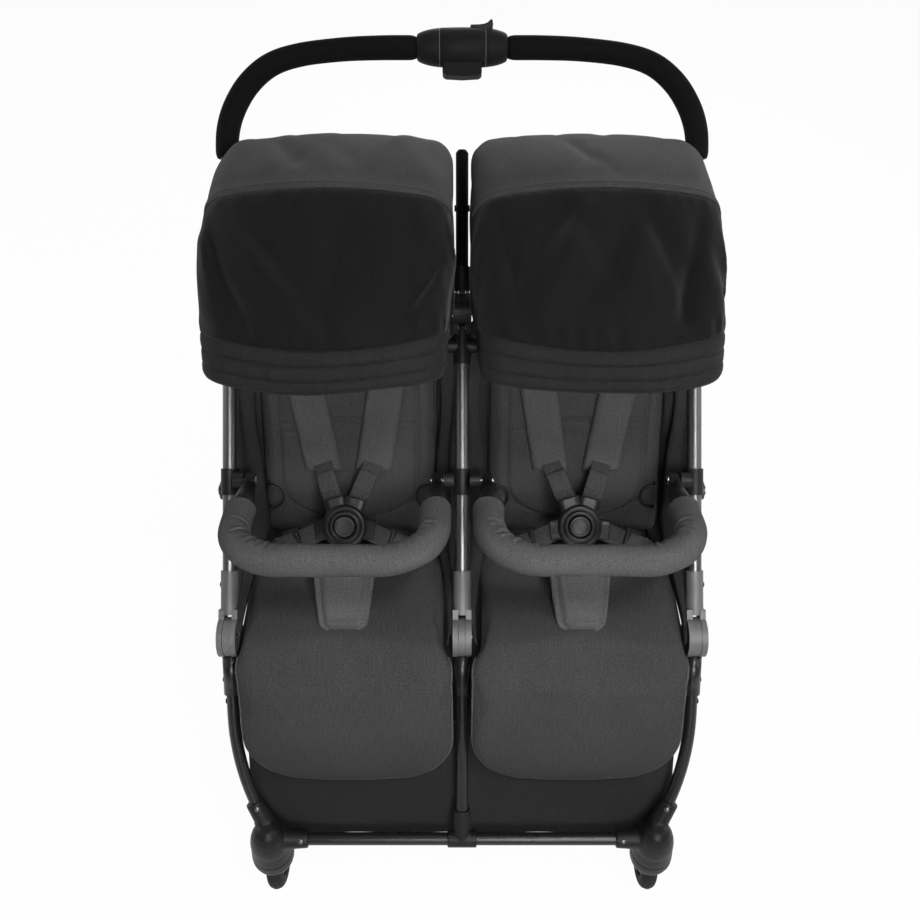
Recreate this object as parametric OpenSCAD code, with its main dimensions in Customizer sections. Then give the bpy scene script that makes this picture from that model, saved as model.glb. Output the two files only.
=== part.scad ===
// Side by side double stroller: two seats on one folding tube frame.
// Millimetres. Front toward -Y, up +Z, ground at Z = 0.

/* [Frame] */
// distance of each outer seat tube from the centre tube
tube_pitch = 335; // [320:1:350]
// lean of the seat tubes from upright, in degrees
lean = 44; // [40:0.5:47]
// distance of the leg joint ahead of the origin
joint_front = 240; // [230:1:250]
// height of the leg joint
joint_z = 425; // [415:1:440]
// outside diameter of the seat tubes
tube_d = 20; // [18:0.5:22]
// wall of the frame tubes
tube_wall = 1.5; // [1:0.1:2.5]
// radial clearance where pieces are fixed together
fit = 0.03; // [0.01:0.01:0.08]
// radial clearance where pieces turn or slide
run_fit = 0.05; // [0.03:0.01:0.1]

/* [Joints] */
// width of the turning hub inside a fork
hub_w = 10; // [8:0.5:12]
// thickness of one fork ear
ear_t = 8; // [6:0.5:9]
// gap between hub and ear
ear_gap = 0.4; // [0.3:0.1:1]
// radius of the ears at the leg joint
leg_ear_r = 29; // [25:0.5:31]
// radius of the ears at the handle hinge
top_ear_r = 25; // [22:0.5:27]
// diameter of the main hinge pins
pin_d = 10; // [8:0.5:11]
// diameter of the pin heads
head_d = 15; // [12:0.5:16]
// diameter of the collars on the seat tubes
collar_d = 25; // [24:0.5:26]
// length of the leg joint shell along the tube
shell_len = 95; // [80:1:110]
// height of the handle hinge along the tube
handle_s = 470; // [460:1:480]
// length of the upper fork along the tube
fork_len = 78; // [70:1:85]

/* [Handle] */
// forward tilt of the handle from the seat tubes, in degrees
handle_tilt = 3.5; // [0:0.5:5]
// diameter of the handle tube
handle_d = 18; // [16:0.5:19]
// height of the arch above the handle hinge
handle_rise = 370; // [350:1:380]
// bend radius of the arch corners
handle_bend = 150; // [130:1:153]
// diameter of the foam grips
grip_d = 33; // [29:0.5:36]
// height of the grip ends above the handle hinge
grip_start = 216; // [200:1:218]
// length of the centre post above the handle hinge
post_len = 227; // [200:1:240]
// half length of the control housing
control_half = 64; // [58:1:72]
// diameter of the control housing
control_d = 53; // [48:0.5:58]
// half width of the fold trigger
trigger_half = 28; // [24:0.5:32]
// travel of the fold trigger
trigger_travel = 6; // [4:0.5:7]
// length of the thumb slide
slide_len = 36; // [30:1:38]
// travel of the thumb slide
slide_travel = 8; // [5:0.5:9]

/* [Front frame] */
// distance of the front cross tube ahead of the origin
cross_front = 412; // [408:1:418]
// height of the front cross tube
cross_z = 150; // [146:1:154]
// diameter of the front cross tube
cross_d = 19; // [17:0.5:20]
// diameter of the front legs
leg_d = 18; // [16:0.5:20]
// bend radius of the outer legs
leg_bend_r = 400; // [360:5:440]
// bend angle of the outer legs
leg_bend_a = 26; // [24:0.5:27]
// height of the leg bend end above the cross tube, along the leg
leg_end = 28; // [26:0.5:32]
// distance of the caster axis from the centre
caster_x = 291; // [287:1:294]
// radius of the caster socket
bulb_r = 26; // [24:0.5:28]
// radius of the caster shroud over the wheel
shroud_r = 31; // [29:0.5:32]
// diameter of the caster stem
stem_d = 12; // [10:0.5:13]

/* [Wheels] */
// radius of the front wheels
front_r = 56; // [52:0.5:57]
// half width of the front tyres
front_half = 13; // [11:0.5:14]
// trail of the casters
trail = 24; // [20:0.5:28]
// radius of the rear wheels
rear_r = 85; // [80:0.5:90]
// half width of the rear tyres
rear_half = 18; // [15:0.5:19]
// distance of the rear wheels inside the rear legs
rear_wheel_in = 34; // [33:0.5:38]
// diameter of the rear axles
axle_d = 10; // [8:0.5:11]
// diameter of the caster axles
small_axle_d = 8; // [6:0.5:9]

/* [Rear frame] */
// distance of the rear legs outside the seat tubes
rear_leg_out = 22; // [21:0.5:25]
// diameter of the rear legs
rear_leg_d = 20; // [18:0.5:20]
// place of the rear leg pivot along the seat tube
pivot_s = 210; // [200:1:218]
// distance of the rear leg pivot behind the seat tube
pivot_back = 30; // [28:0.5:34]
// diameter of the rear cross tube
rear_cross_d = 22; // [20:0.5:24]
// distance of the rear cross tube from the axle, along the leg
rear_cross_up = 105; // [102:1:108]
// half width of the brake pedal
pedal_half = 42; // [36:1:50]

/* [Seat] */
// half width of the seat pads
pad_half = 149; // [144:0.5:150]
// front edge of the seat pads
seat_front = 292; // [288:1:293]
// rear edge of the seat pads
seat_rear = 88; // [86:1:94]
// height of the seat pads
seat_h = 38; // [30:1:42]
// thickness of the seat pans
pan_t = 6; // [4:0.5:7]
// height of the seat rails
rail_h = 18; // [15:0.5:20]
// width of the seat rails
rail_w = 10; // [8:0.5:11]
// top of the seat rails above the ground
rail_z = 410; // [407:0.5:411]
// distance of the backrest hinge ahead of the origin
back_front = 70; // [68:0.5:73]
// lean of the backrest from upright
back_lean = 25; // [22:0.5:27]
// length of the backrest
back_len = 455; // [420:1:470]
// half width of the backrest pads
back_half = 134; // [128:0.5:135]
// thickness of the backrest pads
back_t = 33; // [26:0.5:36]
// thickness of the backrest boards
board_t = 6; // [4:0.5:7]
// diameter of the small hinge pins
peg_d = 8; // [6:0.5:8]
// distance of the leg rest hinge ahead of the seat pad
rest_gap = 11; // [10:0.5:13]
// lean of the leg rest
rest_lean = 21; // [17:0.5:24]
// length of the leg rest below its hinge
rest_len = 200; // [185:1:205]
// thickness of the leg rest
rest_t = 26; // [20:0.5:28]
// corner radius of the leg rest
rest_r = 92; // [70:1:100]
// diameter of the leg rest hinge barrels
knuckle_d = 12; // [10:0.5:12]
// diameter of the leg rest hinge pins
knuckle_pin = 6; // [4:0.5:7]
// diameter of the harness buckle
buckle_d = 64; // [58:0.5:68]
// thickness of the harness buckle
buckle_t = 14; // [12:0.5:18]
// diameter of the buckle button
button_d = 30; // [24:0.5:34]
// distance of the buckle ahead of the origin
buckle_front = 140; // [135:1:145]
// height of the buckle
buckle_z = 550; // [545:1:556]
// width of the webbing
web_w = 28; // [24:0.5:30]
// thickness of the webbing
web_t = 3; // [2:0.1:3.5]
// distance of the shoulder straps from the seat's middle
strap_out = 36; // [34:0.5:38]
// distance of the straps' upper ends ahead of the origin
strap_front = 62; // [60:0.5:64]
// height of the straps' upper ends
strap_z = 576; // [574:0.5:578]
// height of the shoulder pads' lower ends on the backrest
shoulder_low = 140; // [136:1:144]
// length of the shoulder pads
shoulder_len = 250; // [240:1:256]
// distance of the side panels' lower corner ahead of the origin
panel_front = 52; // [50:0.5:54]
// distance of the side panels' upper corner behind the origin
panel_back = 64; // [62:0.5:66]
// height of the side panels' upper corner
panel_top = 688; // [680:1:692]

/* [Canopy] */
// place of the canopy pivot along the seat tube
canopy_s = 419; // [415:0.5:422]
// reach of the canopy bows
bow_r = 286; // [270:1:292]
// half width of the rear bow, the outermost
bow_half = 149; // [147:0.5:149.5]
// thickness of the bow strips
bow_t = 3.2; // [2.8:0.1:3.4]
// step between the bows on the pivot
bow_step = 4.2; // [4:0.1:4.5]
// depth of the bow strips
bow_w = 10; // [8:0.5:12]
// corner radius of the bows
bow_corner = 42; // [36:1:50]
// crown angle of the bows
bow_crown = 15; // [10:0.5:18]
// corner radius of the rear bow
rear_corner = 26; // [20:1:34]
// crown angle of the rear bow
rear_crown = 7; // [5:0.5:9]
// angle of the rear bow from the seat tube
bow_rear_a = 10; // [9:0.5:11]
// angle of the middle bow from the seat tube
bow_mid_a = 56; // [52:0.5:60]
// angle of the front bow from the seat tube
bow_front_a = 103; // [100:0.5:105]
// thickness of the canopy fabric
cloth_t = 2.6; // [2:0.1:3]

/* [Bumper bars] */
// place of the bumper hinge along the seat tube
bumper_s = 226; // [222:0.5:230]
// distance of the bumper hinge ahead of the seat tube
bumper_n = 24; // [22:0.5:26]
// upward tilt of the bumper bars
bumper_tilt = 13; // [8:0.5:16]
// reach of the bumper bars
bumper_reach = 190; // [175:1:200]
// half width of the bumper bars at the tube centre
bumper_half = 132; // [126:0.5:133]
// bend radius of the bumper bars
bumper_bend = 72; // [60:1:80]
// diameter of the bumper tube
bumper_d = 16; // [14:0.5:18]
// diameter of the padded cover
cover_d = 43; // [38:0.5:43]
// length of the bare arm behind the cover
arm_len = 46; // [44:0.5:52]

/* [Basket] */
// half width of the basket
basket_half = 318; // [300:1:318]
// thickness of the basket fabric
basket_t = 4; // [3:0.5:5]
// height of the basket floor
basket_z = 128; // [128:1:140]
// height of the basket rim
basket_rim = 300; // [280:1:320]

/* [Hidden] */
$fn = 48;
seat_x = tube_pitch / 2;
ear_out = hub_w / 2 + ear_gap + ear_t;
hub_r = leg_ear_r - 1;
leg_neck = leg_ear_r + 3;
top_neck = top_ear_r + 3;
blind = 8;
sleeve_d = 24;
tube_s0 = leg_neck + blind;
tube_s1 = handle_s - top_neck - blind;
side_in = seat_x - ear_out;
leg_lean = atan2(cross_front - joint_front, joint_z - cross_z);
leg_len = norm([cross_front - joint_front, joint_z - cross_z]);
leg_run = leg_bend_r * sin(leg_bend_a);
leg_shift = leg_bend_r * (1 - cos(leg_bend_a));
leg_tip_x = tube_pitch - leg_shift;
reach = cross_front - trail + front_r;
rear_axle_y = reach - rear_r;
pivot_y = -joint_front + pivot_s * sin(lean) + pivot_back * cos(lean);
pivot_z = joint_z + pivot_s * cos(lean) - pivot_back * sin(lean);
rear_lean = atan2(rear_axle_y - pivot_y, pivot_z - rear_r);
rear_len = norm([rear_axle_y - pivot_y, pivot_z - rear_r]);
plate_in = tube_pitch + collar_d / 2 - 1.5;
plate_t = 8;
rear_leg_x = tube_pitch + rear_leg_out;
rear_x = rear_leg_x - rear_wheel_in;
pan_z = rail_z + pan_t;
rest_y = -seat_front - rest_gap;
rest_z = rail_z + pan_t / 2;
back_z = joint_z;
rail_in = side_in - rail_w;
axle_z = front_r;
crown_z = 2 * front_r + 4;
crown_t = 11;
bulb_z = crown_z + crown_t + 0.8;
cloth_in = bow_half + bow_t / 2 + 0.8;
bumper_y = -joint_front + bumper_s * sin(lean) - bumper_n * cos(lean);
bumper_z = joint_z + bumper_s * cos(lean) + bumper_n * sin(lean);

// Placing: along the seat tubes, along the front legs, along the rear legs
module on_tube() {
    translate([0, -joint_front, joint_z]) rotate([-lean, 0, 0]) children();
}
module on_leg() {
    translate([0, -joint_front, joint_z]) rotate([-leg_lean, 0, 0]) children();
}
module on_rear() {
    translate([0, pivot_y, pivot_z]) rotate([rear_lean, 0, 0]) children();
}
module on_handle() {
    on_tube() translate([0, 0, handle_s]) children();
}
module on_arm() {
    on_handle() rotate([handle_tilt, 0, 0]) children();
}
module on_back() {
    translate([0, -back_front, back_z]) rotate([-back_lean, 0, 0]) children();
}
module on_rest() {
    translate([0, rest_y, rest_z]) rotate([-rest_lean, 0, 0]) children();
}
module on_bumper() {
    translate([0, bumper_y, bumper_z]) rotate([-bumper_tilt, 0, 0]) children();
}
module on_buckle() {
    translate([0, -buckle_front, buckle_z]) rotate([45, 0, 0]) children();
}
module at_seat(side) {
    translate([side * seat_x, 0, 0]) children();
}
module seats() {
    for (side = [-1, 1]) at_seat(side) children();
}
module both() {
    children();
    mirror([1, 0, 0]) children();
}
module tubes() {
    for (x = [-tube_pitch, 0, tube_pitch]) translate([x, 0, 0]) children();
}

// Basic shapes
module pipe(d, h) {
    difference() {
        cylinder(d = d, h = h);
        translate([0, 0, -1]) cylinder(d = d - 2 * tube_wall, h = h + 2);
    }
}
module bend(r, a, d) {
    rotate_extrude(angle = a) translate([r, 0]) difference() {
        circle(d = d);
        circle(d = d - 2 * tube_wall);
    }
}
module xrod(x0, x1, d) {
    translate([x0, 0, 0]) rotate([0, 90, 0]) cylinder(d = d, h = x1 - x0);
}
module strap(a, b, w, t) {
    v = b - a;
    l = norm(v);
    translate(a) rotate([0, acos(v[2] / l), atan2(v[1], v[0])])
        translate([-t / 2, -w / 2, 0]) cube([t, w, l]);
}

// Closed soft form between two grids of points; the first grid faces outward
module soft(nu, nv, outer, inner) {
    a = [for (j = [0:nv], i = [0:nu]) outer(i / nu, j / nv)];
    b = [for (j = [0:nv], i = [0:nu]) inner(i / nu, j / nv)];
    w = nu + 1;
    n = w * (nv + 1);
    rim = concat([for (i = [0:nu - 1]) i], [for (j = [0:nv - 1]) j * w + nu],
        [for (i = [nu:-1:1]) nv * w + i], [for (j = [nv:-1:1]) j * w]);
    m = len(rim);
    polyhedron(concat(a, b), concat(
        [for (j = [0:nv - 1], i = [0:nu - 1]) let (p = j * w + i)
            each [[p, p + w, p + w + 1], [p, p + w + 1, p + 1]]],
        [for (j = [0:nv - 1], i = [0:nu - 1]) let (p = n + j * w + i)
            each [[p, p + w + 1, p + w], [p, p + 1, p + w + 1]]],
        [for (k = [0:m - 1]) let (p = rim[k], q = rim[(k + 1) % m])
            each [[p, q, q + n], [p, q + n, p + n]]]));
}
function spread(u) = sin(180 * u - 90);
function round_in(d, r) = d >= r ? 1 : d <= 0 ? 0 : sqrt(r * r - (r - d) * (r - d)) / r;
function dip(d, w) = exp(-(d / w) * (d / w));

// Joint halves: a fork with two ears, and the hub that turns in it
module knuckle_fork(r, neck, top, bore) {
    difference() {
        union() {
            translate([0, 0, neck]) cylinder(d = collar_d, h = top - neck);
            for (sx = [-1, 1]) translate([sx * (ear_out - ear_t / 2), 0, 0]) {
                rotate([0, 90, 0]) cylinder(r = r, h = ear_t, center = true);
                translate([-ear_t / 2, -collar_d / 2, 0]) cube([ear_t, collar_d, neck + blind]);
            }
        }
        translate([0, 0, neck + blind]) cylinder(d = bore, h = top);
        rotate([0, 90, 0]) cylinder(d = pin_d + 2 * fit, h = 60, center = true);
    }
}
module knuckle_hub(r, neck, top, bore) {
    difference() {
        union() {
            rotate([0, 90, 0]) cylinder(r = r, h = hub_w, center = true);
            translate([-hub_w / 2, 2 - sleeve_d / 2, 0]) cube([hub_w, sleeve_d - 4, neck + 3]);
            translate([0, 0, neck]) cylinder(d = sleeve_d, h = top - neck);
        }
        translate([0, 0, neck + blind]) cylinder(d = bore, h = top);
        rotate([0, 90, 0]) cylinder(d = pin_d + 2 * run_fit, h = 60, center = true);
    }
}

// Three leaning seat tubes
module seat_tubes() {
    color("dimgray") on_tube() tubes() translate([0, 0, tube_s0]) pipe(tube_d, tube_s1 - tube_s0);
}

// Forks of the leg joints, with collars up the seat tubes
module leg_joint_shells() {
    color("darkslategray") on_tube() tubes() difference() {
        knuckle_fork(leg_ear_r, leg_neck, shell_len, tube_d + 2 * fit);
        translate([0, 0, shell_len - 30]) rotate_extrude()
            translate([collar_d / 2 - 0.8, 0]) square([2, 1.6]);
    }
}

// Forks of the handle hinge, on top of the seat tubes
module upper_hinge_forks() {
    color("darkslategray") on_handle() tubes() mirror([0, 0, 1])
        knuckle_fork(top_ear_r, top_neck, fork_len, tube_d + 2 * fit);
}

// Pins of the main joints, the bumper pegs and the small hinge pins
module pin_with_heads(half, d, head) {
    xrod(-half, half, d);
    for (sx = [-1, 1]) translate([sx * (half + 0.4), 0, 0]) rotate([0, 90, 0])
        cylinder(d = head, h = 0.8, center = true);
}
module hinge_pins() {
    color("silver") {
        on_tube() tubes() pin_with_heads(ear_out, pin_d, head_d);
        on_handle() tubes() pin_with_heads(ear_out, pin_d, head_d);
        both() translate([0, pivot_y, pivot_z]) {
            xrod(tube_pitch - 8, plate_in + plate_t + 1, pin_d);
            xrod(plate_in + plate_t + 0.6, plate_in + plate_t + 3, head_d);
        }
        seats() both() {
            translate([0, bumper_y, bumper_z]) {
                xrod(bumper_half - 7, seat_x - 14, peg_d);
                xrod(bumper_half - 9, bumper_half - 6.6, peg_d + 5);
            }
            translate([0, -back_front, back_z]) xrod(back_half - 8, side_in, peg_d);
            translate([0, rest_y, rest_z]) xrod(88, 127, knuckle_pin);
        }
    }
}

// Brackets round the seat tubes: rear leg lugs outside, bumper lugs inside
module tube_bracket(lug_a, lug_b, rear) {
    difference() {
        union() {
            translate([0, 0, bumper_s - 22]) cylinder(d = tube_d + 5, h = 38);
            for (sx = [lug_a, lug_b]) if (sx != 0) {
                translate([sx * 11, -bumper_n, bumper_s]) {
                    xrod(sx > 0 ? 0 : -15, sx > 0 ? 15 : 0, 22);
                    translate([sx > 0 ? 0 : -15, 0, -11]) cube([15, bumper_n, 22]);
                }
            }
            if (rear != 0) translate([rear > 0 ? -9 : -plate_in + tube_pitch + 0.6, pivot_back, pivot_s]) {
                xrod(0, plate_in - tube_pitch - 0.6 + 9, 28);
                translate([0, -pivot_back, -14]) cube([plate_in - tube_pitch - 0.6 + 9, pivot_back, 28]);
            }
        }
        translate([0, 0, bumper_s - 60]) cylinder(d = tube_d + 2 * fit, h = 120);
        translate([0, pivot_back, pivot_s]) rotate([0, 90, 0])
            cylinder(d = pin_d + 2 * fit, h = 80, center = true);
        translate([0, -bumper_n, bumper_s]) rotate([0, 90, 0])
            cylinder(d = peg_d + 2 * fit, h = 80, center = true);
    }
}
module tube_brackets() {
    color("black") on_tube() {
        translate([tube_pitch, 0, 0]) tube_bracket(-1, 0, 1);
        translate([-tube_pitch, 0, 0]) tube_bracket(1, 0, -1);
        tube_bracket(-1, 1, 0);
    }
}

// Rails under each seat, fixed to the leg joint ears, with cross bars
module seat_rails() {
    color("dimgray") seats() {
        both() difference() {
            union() {
                translate([rail_in, 24 - joint_front - 80, rail_z - rail_h])
                    cube([rail_w, joint_front + 66 - back_front, rail_h]);
                translate([rail_in, -back_front - 10, rail_z - rail_h])
                    cube([rail_w, 20, back_z - rail_z + rail_h]);
                translate([0, -back_front, back_z]) xrod(rail_in, rail_in + rail_w, 20);
            }
            translate([0, -back_front, back_z]) rotate([0, 90, 0])
                cylinder(d = peg_d + 2 * fit, h = 900, center = true);
        }
        for (y = [15 - joint_front, -back_front - 30])
            translate([0, y, rail_z - rail_h / 2]) xrod(-rail_in, rail_in, 14);
    }
}

// Seat pans on the rails, with the barrels of the leg rest hinge
module seat_pans() {
    color("black") seats() {
        translate([0.5 - side_in, -seat_front, rail_z])
            cube([2 * side_in - 1, seat_front - seat_rear, pan_t]);
        both() difference() {
            union() {
                translate([0, rest_y, rest_z]) xrod(90, 108, knuckle_d);
                translate([90, rest_y, rest_z - pan_t / 2]) cube([18, rest_gap, pan_t]);
            }
            translate([0, rest_y, rest_z]) xrod(60, 140, knuckle_pin + 2 * fit);
        }
    }
}

// Seat pads: crowned cushions with drawn-in sides
function seat_top(x, y) = pan_z + 9 + (seat_h - 9) * round_in(pad_half - abs(x), 34)
    * round_in(y + seat_front, 46) * round_in(-seat_rear - y, 26)
    + 5 * dip(x, 80) * dip(y + 190, 80);
module seat_pad() {
    soft(12, 10,
        function(u, v) let (x = pad_half * spread(u),
            y = -(seat_front + seat_rear) / 2 + (seat_front - seat_rear) / 2 * spread(v))
            [x, y, seat_top(x, y)],
        function(u, v) let (x = pad_half * spread(u),
            y = -(seat_front + seat_rear) / 2 + (seat_front - seat_rear) / 2 * spread(v))
            [x * 0.985, y, pan_z]);
}
module seat_pad_left() {
    color("darkslategray") at_seat(-1) seat_pad();
}
module seat_pad_right() {
    color("darkslategray") at_seat(1) seat_pad();
}

// Fabric side panels: slanted from the seat tubes in to the backrests
function beside_tube(s, n) = [side_in + 0.6, s * sin(lean) - n * cos(lean) - joint_front,
    s * cos(lean) + n * sin(lean) + joint_z];
module seat_side_panels() {
    edge = [[beside_tube(58, -1.5), beside_tube(330, -1.5)],
        [[back_half + 6, -panel_front, pan_z + 48], [back_half + 6, panel_back, panel_top]]];
    color("black") seats() both() soft(2, 3,
        function(u, v) let (a = edge[0][0] + (edge[0][1] - edge[0][0]) * v,
            b = edge[1][0] + (edge[1][1] - edge[1][0]) * v) a + (b - a) * u,
        function(u, v) let (a = edge[0][0] + (edge[0][1] - edge[0][0]) * v,
            b = edge[1][0] + (edge[1][1] - edge[1][0]) * v) a + (b - a) * u + [-1.8, 2.2, 0]);
}

// Canopy bows: flat strips turning about one pivot on each side
function bow_rc(half, c, g) = (half - c * (1 - sin(g))) / sin(g);
function bow_z0(half, c, g) = bow_r - c * cos(g) - bow_rc(half, c, g) * (1 - cos(g));
function bow_side(half, o, c, g) = let (z0 = bow_z0(half, c, g), rc = bow_rc(half, c, g)) concat(
    [for (k = [0:6]) let (a = (90 - g) * k / 6) [half - c + (c + o) * cos(a), z0 + (c + o) * sin(a)]],
    [for (k = [1:5]) let (a = 90 - g + g * k / 5) [(rc + o) * cos(a), bow_r - rc + (rc + o) * sin(a)]]);
function flipped(pts) = [for (k = [len(pts) - 2:-1:0]) [-pts[k][0], pts[k][1]]];
function bow_line(half, o, c, g) = let (side = bow_side(half, o, c, g)) concat([[half + o, 0]], side,
    flipped(concat([[half + o, 0]], side)));
function reversed(pts) = [for (k = [len(pts) - 1:-1:0]) pts[k]];
module bow(half, a, clearance, c, g) {
    rotate([a, 0, 0]) difference() {
        union() {
            translate([0, bow_w / 2, 0]) rotate([90, 0, 0]) linear_extrude(bow_w)
                polygon(concat(bow_line(half, bow_t / 2, c, g), reversed(bow_line(half, -bow_t / 2, c, g))));
            both() xrod(half - bow_t / 2, half + bow_t / 2, 20);
        }
        if (clearance > 0) both() xrod(half - 10, half + 10, peg_d + 2 * clearance);
    }
}
module on_canopy() {
    on_tube() translate([0, 0, canopy_s]) children();
}
module canopy_rear_bows() {
    color("black") on_canopy() seats() {
        bow(bow_half, bow_rear_a, 0, rear_corner, rear_crown);
        both() {
            difference() {
                xrod(bow_half - bow_t / 2 - 0.4, seat_x - 5, 22);
                translate([seat_x, 0, -40]) cylinder(d = collar_d + 2 * fit, h = 80);
            }
            xrod(bow_half - 2 * bow_step - 3, bow_half, peg_d);
            xrod(bow_half - 2 * bow_step - 3.6, bow_half - 2 * bow_step - 2.2, peg_d + 5);
        }
    }
}
module canopy_middle_bow_left() {
    color("black") on_canopy() at_seat(-1) bow(bow_half - bow_step, bow_mid_a, run_fit, bow_corner, bow_crown);
}
module canopy_middle_bow_right() {
    color("black") on_canopy() at_seat(1) bow(bow_half - bow_step, bow_mid_a, run_fit, bow_corner, bow_crown);
}
module canopy_front_bow_left() {
    color("black") on_canopy() at_seat(-1) bow(bow_half - 2 * bow_step, bow_front_a, run_fit, bow_corner, bow_crown);
}
module canopy_front_bow_right() {
    color("black") on_canopy() at_seat(1) bow(bow_half - 2 * bow_step, bow_front_a, run_fit, bow_corner, bow_crown);
}

// Canopy fabric: one skin over the three bows, slack between them, hem in front
function mixed(a, b, t) = a + (b - a) * max(0, min(1, t));
function arch_point(o, k, v) = let (c = mixed(rear_corner, bow_corner, (v - 0.09) / 0.37),
    g = mixed(rear_crown, bow_crown, (v - 0.09) / 0.37), h = bow_half - mixed(0, 2 * bow_step, (v - 0.5) / 0.5),
    w = o + bow_t / 2 + 1.6)
    k < 4 ? [h + w, 78 + (bow_z0(h, c, g) - 78) * k / 4] : bow_side(h, w, c, g)[k - 4];
function slack(v) = [0, 0.15, 0.7, 1, 0.6, 0, 0, 0.6, 1, 0.5, 0, 0][round(11 * v)];
function canopy_at(o, i, v) = let (n = 15, k = i > n ? 2 * n - i : i, p = arch_point(o, k, v),
    hem = 0.8 + 3.8 * round_in(k - 4, 11),
    a = bow_rear_a - 2 + (bow_front_a + 2 + hem - bow_rear_a) * v,
    d = p[1] - 7 * slack(v) * round_in(k - 5, 8))
    [i > n ? -p[0] : p[0], -d * sin(a), d * cos(a)];
module canopy_fabric() {
    soft(30, 11, function(u, v) canopy_at(cloth_t, round(30 * u), v),
        function(u, v) canopy_at(0, round(30 * u), v));
}
module canopy_fabric_left() {
    color("dimgray") on_canopy() at_seat(-1) canopy_fabric();
}
module canopy_fabric_right() {
    color("dimgray") on_canopy() at_seat(1) canopy_fabric();
}

// Harness: webbing, crotch pads and buckles stand on the seats
function seat_point(x, y) = [x, y, seat_top(x, y)];
buckle_c = [0, -buckle_front, buckle_z];
module harness_webbing() {
    color("black") seats() both() {
        strap(buckle_c + 0.52 * buckle_d * [0.386, 0.653, 0.653], [strap_out, -strap_front, strap_z],
            web_w, web_t);
        strap(buckle_c + 0.6 * buckle_d * [0.956, -0.16, -0.16], [118, -112, seat_top(118, -112) + 3],
            web_w, web_t);
    }
}
module crotch_pads() {
    color("black") seats() {
        top_y = -buckle_front - buckle_d / 2 * cos(45) - 0.4;
        top_z = buckle_z - buckle_d / 2 * cos(45) - 0.4;
        low_y = -258;
        low_z = seat_top(0, low_y) + 1;
        soft(6, 6,
            function(u, v) let (w = 44 - 10 * (1 - v) * (1 - v), y = low_y + (top_y - low_y) * v,
                z = low_z + (top_z - low_z) * v, t = 3 + 9 * round_in(min(u, 1 - u) * 2, 0.6)
                * round_in(min(v, 1 - v) * 2, 0.4))
                [w * spread(u), y - t * 0.57, z + t * 0.82],
            function(u, v) let (w = 44 - 10 * (1 - v) * (1 - v), y = low_y + (top_y - low_y) * v,
                z = low_z + (top_z - low_z) * v) [w * spread(u) * 0.98, y, z]);
        strap([0, low_y + 9, low_z + 9], [0, low_y + 9, seat_top(0, low_y + 9) + 1.2], 44, 6);
    }
}
module harness_buckles() {
    color("black") seats() on_buckle() difference() {
        translate([0, 0, -buckle_t / 2]) cylinder(d = buckle_d, h = buckle_t);
        translate([0, 0, -buckle_t / 2 + 4]) cylinder(d = button_d + 2 * run_fit, h = buckle_t);
    }
}
module buckle_button() {
    on_buckle() translate([0, 0, -buckle_t / 2 + 7.5]) cylinder(d = button_d, h = buckle_t - 6);
}
module buckle_button_left() {
    color("dimgray") at_seat(-1) buckle_button();
}
module buckle_button_right() {
    color("dimgray") at_seat(1) buckle_button();
}

// Basket hung from the seat rails
module storage_basket() {
    color("black") {
        difference() {
            translate([-basket_half, 0, 0]) rotate([90, 0, 90]) linear_extrude(2 * basket_half)
                polygon([[-300, basket_rim], [-386, basket_z], [236, basket_z], [252, basket_rim]]);
            translate([basket_t - basket_half, 0, 0]) rotate([90, 0, 90])
                linear_extrude(2 * (basket_half - basket_t))
                polygon([[-300 + basket_t, basket_rim + 1], [-386 + 2 * basket_t, basket_z + basket_t],
                    [236 - basket_t, basket_z + basket_t], [252 - basket_t, basket_rim + 1]]);
        }
        both() for (y = [-262, -112]) translate([basket_half - basket_t, y, basket_rim - 20])
            cube([basket_t, 40, rail_z - rail_h - basket_rim + 20]);
    }
}

// Handle: arched tube, centre post, foam grips, hubs and the control unit
module handle_bar() {
    color("dimgray") on_arm() {
        both() {
            translate([tube_pitch, 0, top_neck + blind]) pipe(handle_d, handle_rise - handle_bend - top_neck - blind);
            translate([tube_pitch - handle_bend, 0, handle_rise - handle_bend]) rotate([90, 0, 0])
                bend(handle_bend, 90, handle_d);
        }
        translate([handle_bend - tube_pitch, 0, handle_rise]) rotate([0, 90, 0])
            pipe(handle_d, 2 * (tube_pitch - handle_bend));
    }
}
module centre_post() {
    color("black") on_arm() {
        translate([0, 0, top_neck + blind]) cylinder(d = handle_d, h = post_len - top_neck - blind - 4);
        translate([0, 0, post_len - 4.5]) cylinder(d1 = handle_d, d2 = handle_d - 6, h = 4.5);
        translate([0, 0, post_len - 82]) xrod(-11, 11, 9);
    }
}
module handle_grips() {
    color("black") on_arm() both() difference() {
        union() {
            translate([tube_pitch, 0, grip_start]) cylinder(d = grip_d, h = handle_rise - handle_bend - grip_start);
            translate([tube_pitch - handle_bend, 0, handle_rise - handle_bend]) rotate([90, 0, 0])
                rotate_extrude(angle = 90) translate([handle_bend, 0]) circle(d = grip_d);
            translate([0, 0, handle_rise]) xrod(control_half, tube_pitch - handle_bend, grip_d);
        }
        translate([tube_pitch, 0, grip_start - 1])
            cylinder(d = handle_d + 2 * fit, h = handle_rise - handle_bend - grip_start + 1);
        translate([tube_pitch - handle_bend, 0, handle_rise - handle_bend]) rotate([90, 0, 0])
            rotate_extrude(angle = 90) translate([handle_bend, 0]) circle(d = handle_d + 2 * fit);
        translate([0, 0, handle_rise]) xrod(control_half - 1, tube_pitch - handle_bend, handle_d + 2 * fit);
    }
}
module handle_hubs() {
    color("darkslategray") on_arm() tubes()
        knuckle_hub(top_ear_r - 1, top_neck, top_neck + 34, handle_d + 2 * fit);
}
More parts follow.
